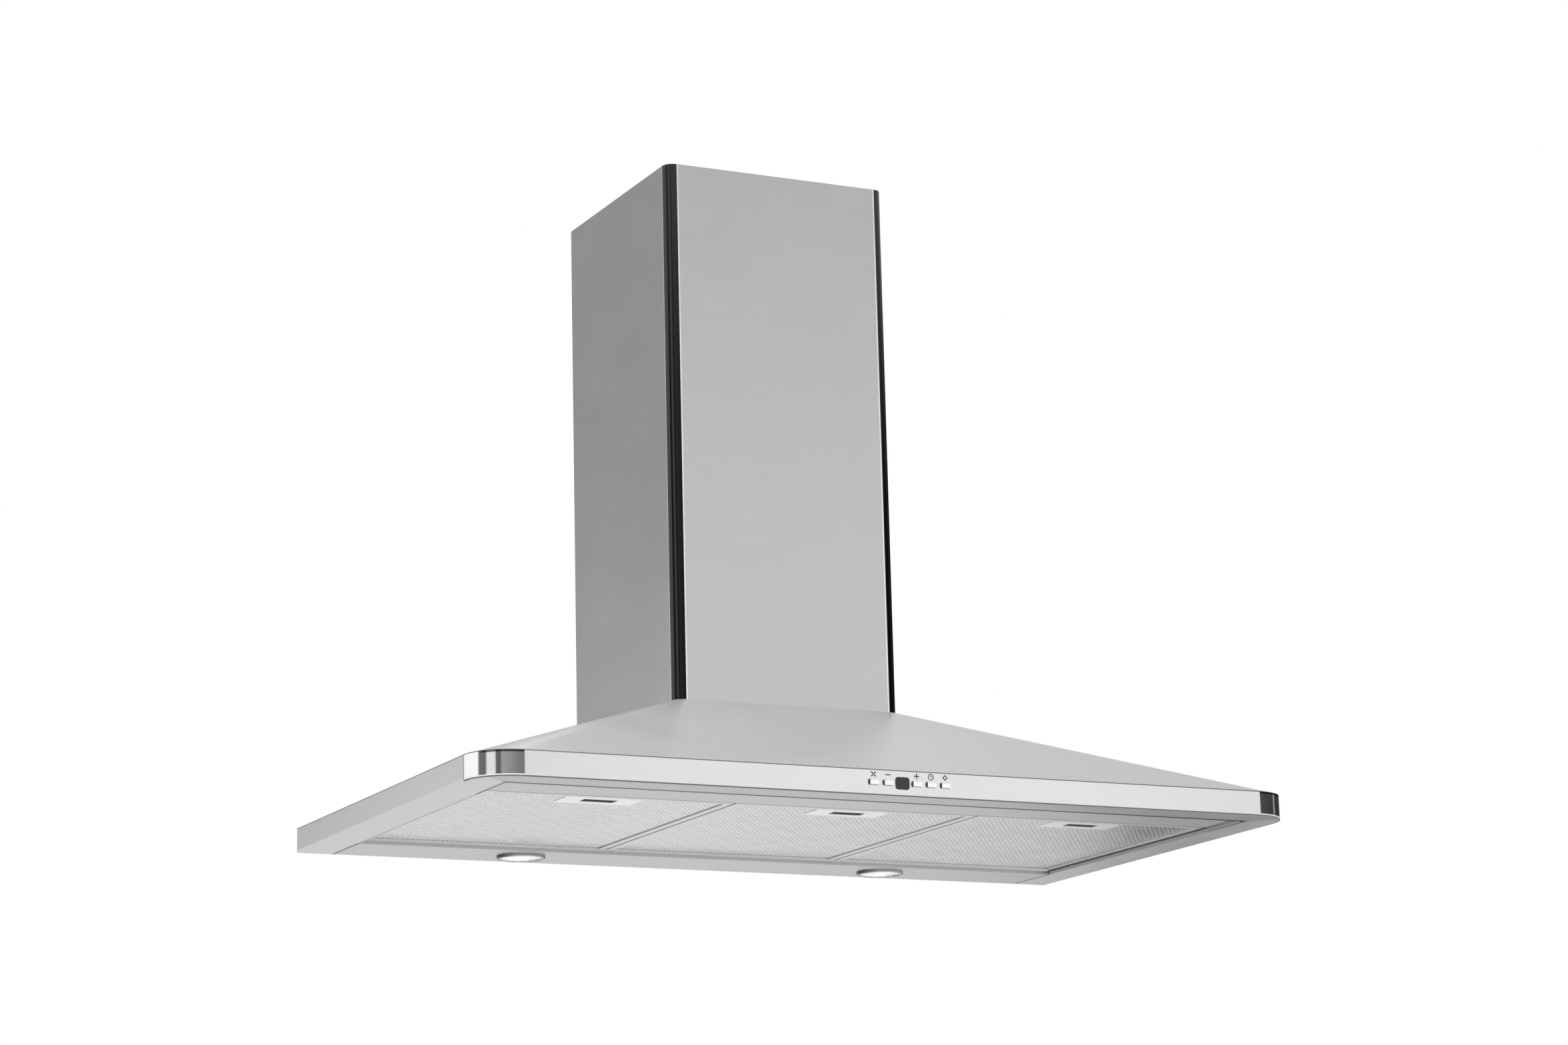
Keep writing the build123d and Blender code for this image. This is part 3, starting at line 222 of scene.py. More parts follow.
def brushed_steel(name, level, roughness, relief=0.12, marks=None):
    """Brushed stainless steel. The function marks, if given, changes its colour and roughness in
    places, painted shade and reflections among them.
    """
    material, tree, shader = new_material(name)
    grain = use_group(tree, BRUSHED_GRAIN, Strength=BRUSH_STRENGTH, Roughness=roughness)
    colour, rough = grey(level), grain["Roughness"]
    if marks:
        colour, rough = marks(tree, shader, colour, rough)
    connect(tree, shader, {
        "Base Color": tinted(tree, colour, grain["Tone"]),
        "Roughness": rough,
        "Metallic": 1.0,
        "Anisotropic": 0.7,
        "Tangent": add_node(tree, "ShaderNodeCombineXYZ", BRUSH_TURN).outputs[0],
    })
    add_bump(tree, shader, grain["Height"], relief, BRUSH_DEPTH)
    return material


def dress(material, *nodes):
    """Gives a material to CAD nodes."""
    for node in nodes:
        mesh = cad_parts[node].data
        mesh.materials.clear()
        mesh.materials.append(material)


dress(brushed_steel("canopy_steel", level=0.565, roughness=0.42), "canopy_shell")


# Back plate and hidden sheet pieces: hot-dip zinc coated steel, cut, folded and screwed.
# The zinc shows its frozen crystals as dull and bright patches. The plate hangs on the wall, and
# the brackets and the blower's scroll halves are fixed to it and to the canopy.
PATCH_TONE = (0.93, 1.05)
PATCH_ROUGHNESS, CLOUD_ROUGHNESS, LEAST_ROUGHNESS = 0.08, 0.2, 0.22


def zinc_spangle():
    """Crystal patches of a zinc coat."""
    inputs, outputs = {"Crystal size": 0.012}, ["Tone", "Roughness", "Height"]
    tree, given, result = new_group("Zinc spangle", inputs, outputs)
    place = surface_place(tree)
    scale = math_value(tree, "DIVIDE", 1.0, given["Crystal size"])
    cells = {"Vector": place, "Scale": scale, "Randomness": 1.0}
    crystals = add_node(tree, "ShaderNodeTexVoronoi", cells).outputs["Color"]
    patch = add_node(tree, "ShaderNodeSeparateColor", {0: crystals}).outputs[0]
    clouds = noise(tree, place, (60.0, 60.0, 60.0), detail=4.0)
    patch_rough = math_value(tree, "MULTIPLY", patch, PATCH_ROUGHNESS)
    cloud_rough = math_value(tree, "MULTIPLY", clouds, CLOUD_ROUGHNESS)
    connect(tree, result, {
        "Tone": spread(tree, patch, RISING, PATCH_TONE),
        "Roughness": math_value(tree, "ADD", patch_rough, cloud_rough, LEAST_ROUGHNESS),
        "Height": clouds,
    })
    return tree


ZINC_COLOUR = (0.60, 0.62, 0.64, 1.0)
zinc_sheet, tree, shader = new_material("zinc_sheet")
spangle = use_group(tree, zinc_spangle(), Crystal_size=0.008)
connect(tree, shader, {
    "Base Color": tinted(tree, ZINC_COLOUR, spangle["Tone"]),
    "Roughness": spangle["Roughness"],
    "Metallic": 1.0,
})
add_bump(tree, shader, spangle["Height"], strength=0.1, distance=0.0003)
dress(zinc_sheet, "back_plate", "wall_bracket", "motor_bracket")
for side in ("left", "right"):
    dress(zinc_sheet, f"blower_housing_{side}", f"blower_bracket_{side}")


# Bands: folded stainless strips round the front, both rounded corners and the two sides.
# Their lower flanges make the rim, mitred at the corners; the bends are burnished by the press.
# The front one is cut out for the display and the buttons.
def blended(tree, mask, first, second):
    """The first colour where the mask is 0 and the second where it is 1."""
    inputs = {0: mask, 6: first, 7: second}
    return add_node(tree, "ShaderNodeMix", inputs, data_type="RGBA").outputs[2]


def place_parts(tree, kind="Object"):
    """The X, Y and Z of the place on a surface."""
    return add_node(tree, "ShaderNodeSeparateXYZ", {0: surface_place(tree, kind)}).outputs


CORNER_BLUR = 0.0006


def rounded_corner():
    """Masks on the two front corners of a form rounded in plan, and on strips beside them."""
    sizes = {"Half width": 0.1, "Depth": 0.1, "Radius": 0.01, "Strip": 0.0016}
    tree, given, result = new_group("Rounded corner", sizes, ["Bend", "Strips"])
    place = place_parts(tree)
    across = math_value(tree, "ABSOLUTE", place["X"])
    depth = math_value(tree, "MULTIPLY", place["Y"], -1.0)
    from_side = math_value(tree, "SUBTRACT", across, given["Half width"])
    from_front = math_value(tree, "SUBTRACT", depth, given["Depth"])

    def corner(reach):
        """1 where a place lies within reach of the corner both ways."""
        return math_value(tree, "MULTIPLY", *[
            spread(tree, math_value(tree, "ADD", away, reach), (0.0, CORNER_BLUR), RISING)
            for away in (from_side, from_front)
        ])

    bend = corner(given["Radius"])
    widened = corner(math_value(tree, "ADD", given["Radius"], given["Strip"]))
    connect(tree, result, {"Bend": bend, "Strips": math_value(tree, "SUBTRACT", widened, bend)})
    return tree


ROUNDED_CORNER = rounded_corner()
FACING_DOWN = (-0.9, -0.6)


def burnished_and_painted_bends(tree, colour, rough, node, radius, bend_level, bend_rough, strip_level):
    """A node's two front bends in their own grey and roughness, with narrow strips of another grey
    beside them. A light bend grey is burnished steel, a dark one a painted dark reflection.

    Returns the colour, the roughness and the mask on the bends."""
    low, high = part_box(node)
    masks = use_group(tree, ROUNDED_CORNER, Half_width=high.x, Depth=-low.y, Radius=radius)
    upright = spread(tree, facing(tree, "Z"), FACING_DOWN, RISING)
    bend = math_value(tree, "MULTIPLY", masks["Bend"], upright)
    beside = blended(tree, masks["Strips"], colour, grey(strip_level))
    colour = blended(tree, bend, beside, grey(bend_level))
    return colour, mixed_value(tree, bend, rough, bend_rough), bend


band_low, band_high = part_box("front_band")
side_rim_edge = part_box("right_side_band")[0].x
front_panel_low, front_panel_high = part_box("front_inner_panel")
rear_panel_edge = -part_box("rear_lamp_panel")[0].y
filter_front = -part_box("filter_frame_1")[0].y
PANEL_LAP = 0.001
LINE_CORE = 0.75
FAINT_BESIDE_FILTERS = 0.6
EDGE_STRENGTH = 0.62
TOP_SHADOW_HEIGHT, TOP_SHADOW_BLUR = 0.0030, 0.0008
CORNER_END, CORNER_END_BLUR = 0.009, 0.003

# A gap shadow or seam that a band doesn't have lies a metre off, and a lower fold line is too thin
# to show.
NOWHERE = 1.0
HAIRLINE = 0.00001


def fold_lines():
    """Masks of painted shade on the folds along a band's upper and lower edge, of its dark end
    seam, and of painted gap shadows at the rim's inner edge.

    The gap shadows are fainter beside the filters. Round is the height of the bend at the lower
    edge."""
    sizes = {
        "Top": band_high.z, "Hem x": -NOWHERE, "Hem y": -NOWHERE, "End y": NOWHERE,
        "Fold width": 0.0013, "Lower width": HAIRLINE, "Hem width": 0.0026, "Edge": 0.0008,
        "Bend height": 0.0025,
    }
    tree, given, result = new_group("Fold lines", sizes, ["Fold shade and seam", "Upper", "Gap shadows", "Round"])
    place = place_parts(tree)
    across = math_value(tree, "ABSOLUTE", place["X"])
    depth = math_value(tree, "MULTIPLY", place["Y"], -1.0)
    rim = spread(tree, facing(tree, "Z"), FACING_DOWN, FALLING)
    face = math_value(tree, "SUBTRACT", 1.0, rim)

    def near(distance, width="Fold width"):
        """1 at the line itself, falling to 0 at the line's width."""
        share = math_value(tree, "DIVIDE", distance, given[width])
        return spread(tree, share, (LINE_CORE, 1.0), FALLING)

    # Painted shade along the upper and lower folds, and the dark end seam.
    upper = near(math_value(tree, "SUBTRACT", given["Top"], place["Z"]))
    lower = near(place["Z"], "Lower width")
    end = near(math_value(tree, "SUBTRACT", given["End y"], depth))
    folds = math_value(tree, "MAXIMUM", upper, lower, end)

    # Below the top: the strip that takes a painted shadow over the front band's corners.
    dark_from = band_high.z - TOP_SHADOW_HEIGHT
    corner_from = band_high.x - CORNER_END
    below_top = spread(tree, place["Z"], (dark_from, dark_from + TOP_SHADOW_BLUR), RISING)
    before_end = spread(tree, across, (corner_from, corner_from + CORNER_END_BLUR), FALLING)

    # Painted gap shadows: dark lines at the rim's inner edge, on the rim and on the upright face
    # beside it.
    past_shadow_x = math_value(tree, "SUBTRACT", across, given["Hem x"])
    past_shadow_y = math_value(tree, "SUBTRACT", depth, given["Hem y"])
    gap_shadows = math_value(tree, "MAXIMUM", near(past_shadow_x, "Hem width"), near(past_shadow_y, "Hem width"))
    rear_span = (rear_panel_edge - PANEL_LAP, rear_panel_edge + PANEL_LAP)
    past_rear = spread(tree, depth, rear_span, RISING)
    before_front = spread(tree, depth, (filter_front, -front_panel_high.y), FALLING)
    faint = math_value(tree, "MULTIPLY", past_rear, before_front, FAINT_BESIDE_FILTERS)
    on_rim = math_value(tree, "MULTIPLY", rim, gap_shadows, math_value(tree, "SUBTRACT", 1.0, faint))
    on_edge = math_value(tree, "MULTIPLY", face, near(past_shadow_x, "Edge"), EDGE_STRENGTH)

    height = math_value(tree, "DIVIDE", place["Z"], given["Bend height"])
    connect(tree, result, {
        "Fold shade and seam": math_value(tree, "MULTIPLY", face, folds),
        "Upper": math_value(tree, "MULTIPLY", face, below_top, before_end),
        "Gap shadows": math_value(tree, "MAXIMUM", on_rim, on_edge),
        "Round": spread(tree, height, RISING, RISING),
    })
    return tree


FOLD_LINES = fold_lines()
FOLD_SHADE_LEVEL, GAP_SHADOW_LEVEL, CORNER_SHADOW_LEVEL = 0.18, 0.01, 0.16
LOWER_BEND_DEPTH = 0.0018


def folded_edges(tree, shader, colour, shaded_rim_level, **edges):
    """The rim's downward face in a darker grey as painted shade, painted shade along a band's
    folds, its dark end seam, painted gap shadows at the rim's inner edge, and its lower bend.

    Returns the colour and the mask on the upper fold."""
    # Painted shade: the rim's downward face takes a darker grey than the band's face.
    on_rim = spread(tree, facing(tree, "Z"), FACING_DOWN, FALLING)
    colour = blended(tree, on_rim, colour, grey(shaded_rim_level))
    lines = use_group(tree, FOLD_LINES, **edges)
    colour = blended(tree, lines["Fold shade and seam"], colour, grey(FOLD_SHADE_LEVEL))
    colour = blended(tree, lines["Gap shadows"], colour, grey(GAP_SHADOW_LEVEL))
    add_bump(tree, shader, lines["Round"], strength=1.0, distance=LOWER_BEND_DEPTH)
    return colour, lines["Upper"]


def front_band_marks(tree, shader, colour, rough):
    """The front band's bright corners, its rim and its folds, with a painted shadow along the top
    of the corners.
    """
    colour, rough, bend = burnished_and_painted_bends(
        tree, colour, rough, "front_band",
        radius=0.044, bend_level=0.93, bend_rough=0.15, strip_level=0.85,
    )
    rim_edge = -front_panel_low.y - PANEL_LAP
    colour, upper = folded_edges(
        tree, shader, colour,
        shaded_rim_level=0.52, Hem_y=rim_edge, Hem_width=0.0065, Lower_width=0.0016,
    )
    corner_top_shadow = math_value(tree, "MULTIPLY", bend, upper)
    return blended(tree, corner_top_shadow, colour, grey(CORNER_SHADOW_LEVEL)), rough


def side_band_marks(tree, shader, colour, rough):
    """A side band's rim and folds with their painted shade, and its seam with the front band."""
    seam = -band_high.y
    colour, _ = folded_edges(tree, shader, colour, shaded_rim_level=0.66, Hem_x=side_rim_edge, End_y=seam)
    return colour, rough


band_steel = brushed_steel(
    "band_steel", level=0.85, roughness=0.3, relief=0.04, marks=front_band_marks
)
side_band_steel = brushed_steel("side_band_steel", level=0.71, roughness=0.3, marks=side_band_marks)
dress(band_steel, "front_band")
dress(side_band_steel, "left_side_band", "right_side_band")


# Underside strips: the panel between the front rim and the filters, and the panel along the wall
# that carries the lamps. Both are brushed stainless sheet with folded edges, laid over the rim.
underside_steel = brushed_steel("underside_steel", level=0.58, roughness=0.32)
dress(underside_steel, "front_inner_panel", "rear_lamp_panel")


# Lamps: a chromed ring clipped into the rear panel round a pressed glass lens, in front of a
# die-cast aluminium body. The lens is cut into small prisms, ring by ring.
PLATING_SPAN = (0.25, 0.75)


def plated_metal(name, colour, roughness, unevenness):
    """Bare or plated metal with cloudy tone and fine pitting."""
    material, tree, shader = new_material(name)
    place = surface_place(tree)
    clouds = noise(tree, place, (180.0, 180.0, 180.0), detail=4.0)
    specks = noise(tree, place, (1400.0, 1400.0, 1400.0), detail=2.0)
    tone = spread(tree, clouds, PLATING_SPAN, (1.0 - unevenness, 1.0 + unevenness))
    connect(tree, shader, {
        "Base Color": tinted(tree, colour, tone),
        "Roughness": spread(tree, clouds, PLATING_SPAN, (roughness * 0.8, roughness * 1.25)),
        "Metallic": 1.0,
    })
    add_bump(tree, shader, specks, strength=0.08, distance=0.0002)
    return material


def reopened(material):
    """A finished material's tree, its shader and the colour that the shader has so far."""
    tree = material.node_tree
    shader = tree.nodes["Principled BSDF"]
    return tree, shader, shader.inputs["Base Color"].links[0].from_socket


BOX_MIDDLE = 0.5


def off_middle(tree, part):
    """How far a share of the piece's box lies from the box's middle."""
    return math_value(tree, "ABSOLUTE", math_value(tree, "SUBTRACT", part, BOX_MIDDLE))


RING_SHADE_SPAN = (0.26, 0.50)
bezel_chrome = plated_metal("bezel_chrome", grey(0.42), roughness=0.16, unevenness=0.05)
tree, shader, plain = reopened(bezel_chrome)
share = place_parts(tree, "Generated")
# Painted shade: the ring is darkened to a near black grey towards its left and right ends.
ring_end_shade = spread(tree, off_middle(tree, share["X"]), RING_SHADE_SPAN, RISING)
connect(tree, shader, {"Base Color": blended(tree, ring_end_shade, plain, grey(0.07))})
dress(bezel_chrome, "lamp_bezel_left", "lamp_bezel_right")

cast_aluminium = plated_metal("cast_aluminium", grey(0.58), roughness=0.45, unevenness=0.12)
dress(cast_aluminium, "lamp_body_left", "lamp_body_right")

NOISE_SPAN = (0.3, 0.7)
GLASS_COLOUR = (0.93, 0.94, 0.94, 1.0)
GLOW_COLOUR = (1.0, 0.99, 0.97, 1.0)
GLOW_REACH, GLOW_FADE = (0.25, 0.95), (1.0, 0.1)
TO_RIM = (2.0, 2.0, 0.0)
lens_glass, tree, shader = new_material("lens_glass")
frost = noise(tree, surface_place(tree), (320.0, 320.0, 320.0), detail=3.0)
share = surface_place(tree, "Generated")
middle = (BOX_MIDDLE, BOX_MIDDLE, BOX_MIDDLE)
across = vector_math(tree, "SUBTRACT", share, middle).outputs[0]
flat = vector_math(tree, "MULTIPLY", across, TO_RIM).outputs[0]
# Painted glow: the lens gives off a faint light, strongest in its middle and fading towards its
# rim.
painted_glow = spread(tree, vector_math(tree, "LENGTH", flat).outputs["Value"], GLOW_REACH, GLOW_FADE)
connect(tree, shader, {
    "Base Color": tinted(tree, GLASS_COLOUR, spread(tree, frost, NOISE_SPAN, (0.92, 1.04))),
    "Roughness": spread(tree, frost, NOISE_SPAN, (0.06, 0.16)),
    "IOR": 1.5,
    "Coat Weight": 0.6,
    "Emission Color": tinted(tree, GLOW_COLOUR, painted_glow),
    "Emission Strength": 0.2,
})
add_bump(tree, shader, frost, strength=0.05, distance=0.0003)

LENS_RINGS = 6
LENS_PRISMS = 30
PRISM_DEPTH = 0.0007


def faceted_lens(low, high):
    """A round lens whose lower face is cut into rings of small prisms."""
    middle = (low + high) / 2
    radius = (high.x - low.x) / 2
    shape = bmesh.new()
    centre = shape.verts.new((middle.x, middle.y, low.z + PRISM_DEPTH))
    rings = []
    for ring in range(1, LENS_RINGS + 1):
        verts = []
        for prism in range(LENS_PRISMS):
            angle = 2 * pi * (prism + ring / 2) / LENS_PRISMS
            raised = PRISM_DEPTH * ((prism + ring) % 2) * (ring < LENS_RINGS)
            reach = radius * ring / LENS_RINGS
            spot = (middle.x + reach * cos(angle), middle.y + reach * sin(angle), low.z + raised)
            verts.append(shape.verts.new(spot))
        rings.append(verts)
    rings.append([shape.verts.new((vert.co.x, vert.co.y, high.z)) for vert in rings[-1]])
    for prism in range(LENS_PRISMS):
        after = (prism + 1) % LENS_PRISMS
        shape.faces.new((centre, rings[0][after], rings[0][prism]))
        for inner, outer in zip(rings, rings[1:]):
            shape.faces.new((inner[prism], inner[after], outer[after]))
            shape.faces.new((inner[prism], outer[after], outer[prism]))
    shape.faces.new(rings[-1])
    bmesh.ops.recalc_face_normals(shape, faces=shape.faces)
    return shape


def new_piece(name, shape, material, body):
    """Makes an object of a finished shape, riding on a body."""
    mesh = bpy.data.meshes.new(name)
    shape.to_mesh(mesh)
    shape.free()
    mesh.materials.append(material)
    piece = bpy.data.objects.new(name, mesh)
    bpy.context.scene.collection.objects.link(piece)
    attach(piece, body)
    return piece


for side in ("left", "right"):
    node = f"lamp_lens_{side}"
    shape = faceted_lens(*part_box(node))
    lens = new_piece(f"prism_lens_{side}", shape, lens_glass, "hood")
    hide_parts(node)


# Grease filters: rolled aluminium frames round layers of expanded aluminium mesh, each with a
# pressed handle plate in satin steel and a sliding plastic latch. They swing down on their rear
# edge and are taken out for washing.
MESH_SINK = 0.000036
MESH_COVER = 0.0069
SIDE_STRIP = 0.0022
REAR_STRIP = 0.0080
CUP_HALF = 0.0197
CUP_CLEARANCE = 0.003
FOIL = 0.00003
TOP_LAYER = 0.0006
FINE_PITCH_X, FINE_PITCH_Y, FINE_WIDTH = 0.0055, 0.0040, 0.0024
COARSE_PITCH_X, COARSE_PITCH_Y, COARSE_WIDTH = 0.0090, 0.0064, 0.0018
COARSE_EDGE = 0.0008


def strand_mesh(low, high, gap_low, gap_high, pitch_x, pitch_y, width, thickness):
    """One layer of expanded metal from low upwards: zigzag strands that meet at their bends.

    Rows that lie between the gap's front and back stop at its sides."""
    columns = int((high.x - low.x) / (pitch_x / 2))
    rows = int((high.y - low.y - width) / pitch_y)
    step_x = (high.x - low.x) / columns
    step_y = (high.y - low.y - width) / rows
    shape = bmesh.new()
    for row in range(rows):
        base = low.y + width / 2 + row * step_y
        beside_gap = gap_low.y + width < base < gap_high.y - step_y - width
        before = None
        for column in range(columns + 1):
            x = low.x + column * step_x
            y = base + step_y * ((column + row) % 2)
            if beside_gap and gap_low.x < x < gap_high.x:
                if before:
                    shape.faces.new(before[::-1])
                before = None
                continue
            edge = [
                shape.verts.new((x, y + across * width / 2, low.z + up * thickness))
                for across, up in ((-1, 0), (1, 0), (1, 1), (-1, 1))
            ]
            if before is None:
                shape.faces.new(edge)
            else:
                for one, two in ((0, 1), (1, 2), (2, 3), (3, 0)):
                    shape.faces.new((before[one], before[two], edge[two], edge[one]))
            before = edge
        shape.faces.new(before[::-1])
    bmesh.ops.recalc_face_normals(shape, faces=shape.faces)
    return shape


def lower_strands(low, high, plate_low, plate_high):
    """The fine layer that shows from below.

    It ends under the handle's plate and at the pressed strips along the edges."""
    low = low + Vector((MESH_COVER + SIDE_STRIP, MESH_COVER, -MESH_SINK))
    high = high - Vector((MESH_COVER + SIDE_STRIP, MESH_COVER + REAR_STRIP, 0.0))
    strands = (FINE_PITCH_X, FINE_PITCH_Y, FINE_WIDTH, FOIL)
    return strand_mesh(low, high, plate_low, plate_high, *strands)


def upper_strands(low, high, plate_low, plate_high):
    """The coarse layer on top, which shows when the filter swings down.

    It stops clear of the handle's cup."""
    middle = (plate_low + plate_high) / 2
    reach = Vector((
        CUP_HALF + CUP_CLEARANCE,
        CUP_HALF / 2 + CUP_CLEARANCE + COARSE_PITCH_Y + 2 * COARSE_WIDTH,
        0.0,
    ))
    low = Vector((low.x + COARSE_EDGE, low.y + COARSE_EDGE, high.z - TOP_LAYER))
    high = high - Vector((COARSE_EDGE, COARSE_EDGE, 0.0))
    strands = (COARSE_PITCH_X, COARSE_PITCH_Y, COARSE_WIDTH, TOP_LAYER)
    return strand_mesh(low, high, middle - reach, middle + reach, *strands)


PAD_COLUMNS, PAD_ROWS = 80, 100
QUILT_DEPTH = 0.00002
QUILT_X, QUILT_Y = 61, 73


def mesh_pad(low, high, plate_low, plate_high):
    """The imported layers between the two: a thin quilted pad, open round the handle's cup."""
    size = high - low
    middle = (plate_low + plate_high) / 2
    shape = bmesh.new()
    bmesh.ops.create_grid(shape, x_segments=PAD_COLUMNS, y_segments=PAD_ROWS, size=0.5)
    for vert in shape.verts:
        x, y = vert.co.x, vert.co.y
        dip = QUILT_DEPTH * (1 + sin(x * QUILT_X) * cos(y * QUILT_Y))
        vert.co = (low.x + (x + 0.5) * size.x, low.y + (y + 0.5) * size.y, low.z + dip)
    cup = [
        face for face in shape.faces
        if abs(face.calc_center_median().x - middle.x) < CUP_HALF + CUP_CLEARANCE
        and abs(face.calc_center_median().y - middle.y) < CUP_HALF / 2 + CUP_CLEARANCE
    ]
    bmesh.ops.delete(shape, geom=cup, context="FACES")
    made = bmesh.ops.extrude_face_region(shape, geom=shape.faces[:])
    for vert in made["geom"]:
        if isinstance(vert, bmesh.types.BMVert):
            vert.co.z = high.z - TOP_LAYER
    bmesh.ops.recalc_face_normals(shape, faces=shape.faces)
    return shape


def filter_aluminium(name, level, roughness, weave=None):
    """Rolled aluminium, dulled in patches, with a fine woven relief where weave is given."""
    material, tree, shader = new_material(name)
    place = surface_place(tree)
    clouds = noise(tree, place, (14.0, 14.0, 14.0), detail=5.0)
    grain = noise(tree, place, (30.0, 1200.0, 1200.0), detail=3.0)
    cloud_tone = spread(tree, clouds, NOISE_SPAN, (0.97, 1.02))
    tone = math_value(tree, "ADD", cloud_tone, spread(tree, grain, NOISE_SPAN, (-0.03, 0.03)))
    connect(tree, shader, {
        "Base Color": tinted(tree, grey(level), tone),
        "Roughness": spread(tree, clouds, NOISE_SPAN, (roughness - 0.02, roughness + 0.03)),
        "Metallic": 1.0,
    })
    height = noise(tree, place, (weave, weave, weave), detail=1.0) if weave else grain
    add_bump(tree, shader, height, strength=0.03, distance=0.0003)
    return material


frame_aluminium = filter_aluminium("frame_aluminium", level=0.72, roughness=0.34)
strand_aluminium = filter_aluminium("strand_aluminium", level=0.97, roughness=0.21)
pad_aluminium = filter_aluminium("pad_aluminium", level=0.81, roughness=0.22, weave=420.0)

# On its lower face the pad has a painted shadow line along both sides, and a row of slits at the
# rear that are painted dark as shaded openings.
SIDE_LINE, SIDE_LINE_FADE = 0.0004, (0.85, 0.0)
SLIT_FROM, SLIT_TO = 0.006, 0.005
SLIT_WAVE, SLIT_FADE = (-0.3, 0.3), (0.15, 1.0)
LOWER_FACE = (-0.6, -0.4)
tree, shader, plain = reopened(pad_aluminium)
mesh_low, mesh_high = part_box("filter_mesh_1")
pad_size = mesh_high - mesh_low
share = place_parts(tree, "Generated")
side_share = math_value(tree, "SUBTRACT", BOX_MIDDLE, off_middle(tree, share["X"]))
rear_share = math_value(tree, "SUBTRACT", 1.0, share["Y"])
from_side = math_value(tree, "MULTIPLY", side_share, pad_size.x)
from_rear = math_value(tree, "MULTIPLY", rear_share, pad_size.y)
side_edge, rear_edge = MESH_COVER + SIDE_STRIP, MESH_COVER + REAR_STRIP
side_shadow = spread(tree, from_side, (side_edge - SIDE_LINE, side_edge), SIDE_LINE_FADE)
rear_line = spread(tree, from_rear, (rear_edge - SLIT_FROM, rear_edge - SLIT_TO), FALLING)
turns = math_value(tree, "MULTIPLY", place_parts(tree)["X"], 2 * pi / FINE_PITCH_X)
openings = spread(tree, math_value(tree, "SINE", turns), SLIT_WAVE, SLIT_FADE)
shaded_slits = math_value(tree, "MULTIPLY", rear_line, openings)
lower_face = spread(tree, facing(tree, "Z", "True Normal"), LOWER_FACE, FALLING)
lines = math_value(tree, "MULTIPLY", math_value(tree, "MAXIMUM", side_shadow, shaded_slits), lower_face)
connect(tree, shader, {"Base Color": blended(tree, lines, plain, grey(0.02))})

# The handle's cup is painted dark above the plate's own sheet, as painted shade in the recess.
CUP_FROM, CUP_TO = 0.0004, 0.0014
handle_steel = brushed_steel("handle_steel", level=0.97, roughness=0.2, relief=0.03)
tree, shader, plain = reopened(handle_steel)
plate_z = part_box("filter_handle_1")[0].z
cup_shade = spread(tree, place_parts(tree)["Z"], (plate_z + CUP_FROM, plate_z + CUP_TO), RISING)
connect(tree, shader, {
    "Base Color": blended(tree, cup_shade, plain, grey(0.03)),
    "Metallic": 0.6,
})


def moulded_grain():
    """Fine moulded texture with a little dust in it."""
    inputs, outputs = {"Scale": 900.0, "Roughness": 0.45}, ["Tone", "Roughness", "Height"]
    tree, given, result = new_group("Moulded grain", inputs, outputs)
    place = surface_place(tree)
    pit_inputs = {"Vector": place, "Scale": given["Scale"], "Detail": 2.0}
    pits = add_node(tree, "ShaderNodeTexNoise", pit_inputs).outputs[0]
    dust = noise(tree, place, (25.0, 25.0, 25.0), detail=5.0)
    dust_tone = spread(tree, dust, NOISE_SPAN, (0.94, 1.05))
    pit_tone = spread(tree, pits, NOISE_SPAN, (-0.04, 0.04))
    dust_rough = spread(tree, dust, NOISE_SPAN, (-0.06, 0.08))
    connect(tree, result, {
        "Tone": math_value(tree, "ADD", dust_tone, pit_tone),
        "Roughness": math_value(tree, "ADD", given["Roughness"], dust_rough),
        "Height": pits,
    })
    return tree


MOULDED_GRAIN = moulded_grain()
FRONT_FACE = (0.4, 0.9)


def moulded_plastic(name, colour, roughness, scale, relief, side_shade_colour=None):
    """Moulded plastic, with a colour of painted shade on its sides where one is given."""
    material, tree, shader = new_material(name)
    grain = use_group(tree, MOULDED_GRAIN, Scale=scale, Roughness=roughness)
    if side_shade_colour:
        forward = math_value(tree, "ABSOLUTE", facing(tree, "Y", "True Normal"))
        colour = blended(tree, spread(tree, forward, FRONT_FACE, RISING), side_shade_colour, colour)
    connect(tree, shader, {
        "Base Color": tinted(tree, colour, grain["Tone"]),
        "Roughness": grain["Roughness"],
    })
    add_bump(tree, shader, grain["Height"], relief, distance=0.0002)
    return material


latch_plastic = moulded_plastic(
    "latch_plastic", (0.05, 0.05, 0.053, 1.0), roughness=0.42, scale=900.0, relief=0.15
)
for number in (1, 2, 3):
    node, body, slot = f"filter_mesh_{number}", f"filter_{number}", "filter_aluminium"
    area = [*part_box(node), *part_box(f"filter_handle_{number}")]
    shape = lower_strands(*area)
    strands = new_piece(f"strand_mesh_{number}", shape, strand_aluminium, body)
    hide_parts(node)
    new_piece(f"mesh_pad_{number}", mesh_pad(*area), pad_aluminium, body)
    new_piece(f"mesh_top_{number}", upper_strands(*area), frame_aluminium, body)
    dress(frame_aluminium, f"filter_frame_{number}")
    dress(handle_steel, f"filter_handle_{number}")
    dress(latch_plastic, f"latch_{number}")


# Controls: five white push buttons and a dark display window in the front band, in a black
# moulded housing with its green board behind. A small printed sign stands over each button.
BUTTON_COLOUR = (0.93, 0.93, 0.92, 1.0)
BUTTON_SIDE_SHADE = (0.05, 0.05, 0.055, 1.0)
BUTTON_RIM_SHADE, BUTTON_END_SHADE = (0.34, 0.42), (0.15, 0.21)
button_white = moulded_plastic(
    "button_white", BUTTON_COLOUR, roughness=0.3, scale=1500.0, relief=0.06, side_shade_colour=BUTTON_SIDE_SHADE
)
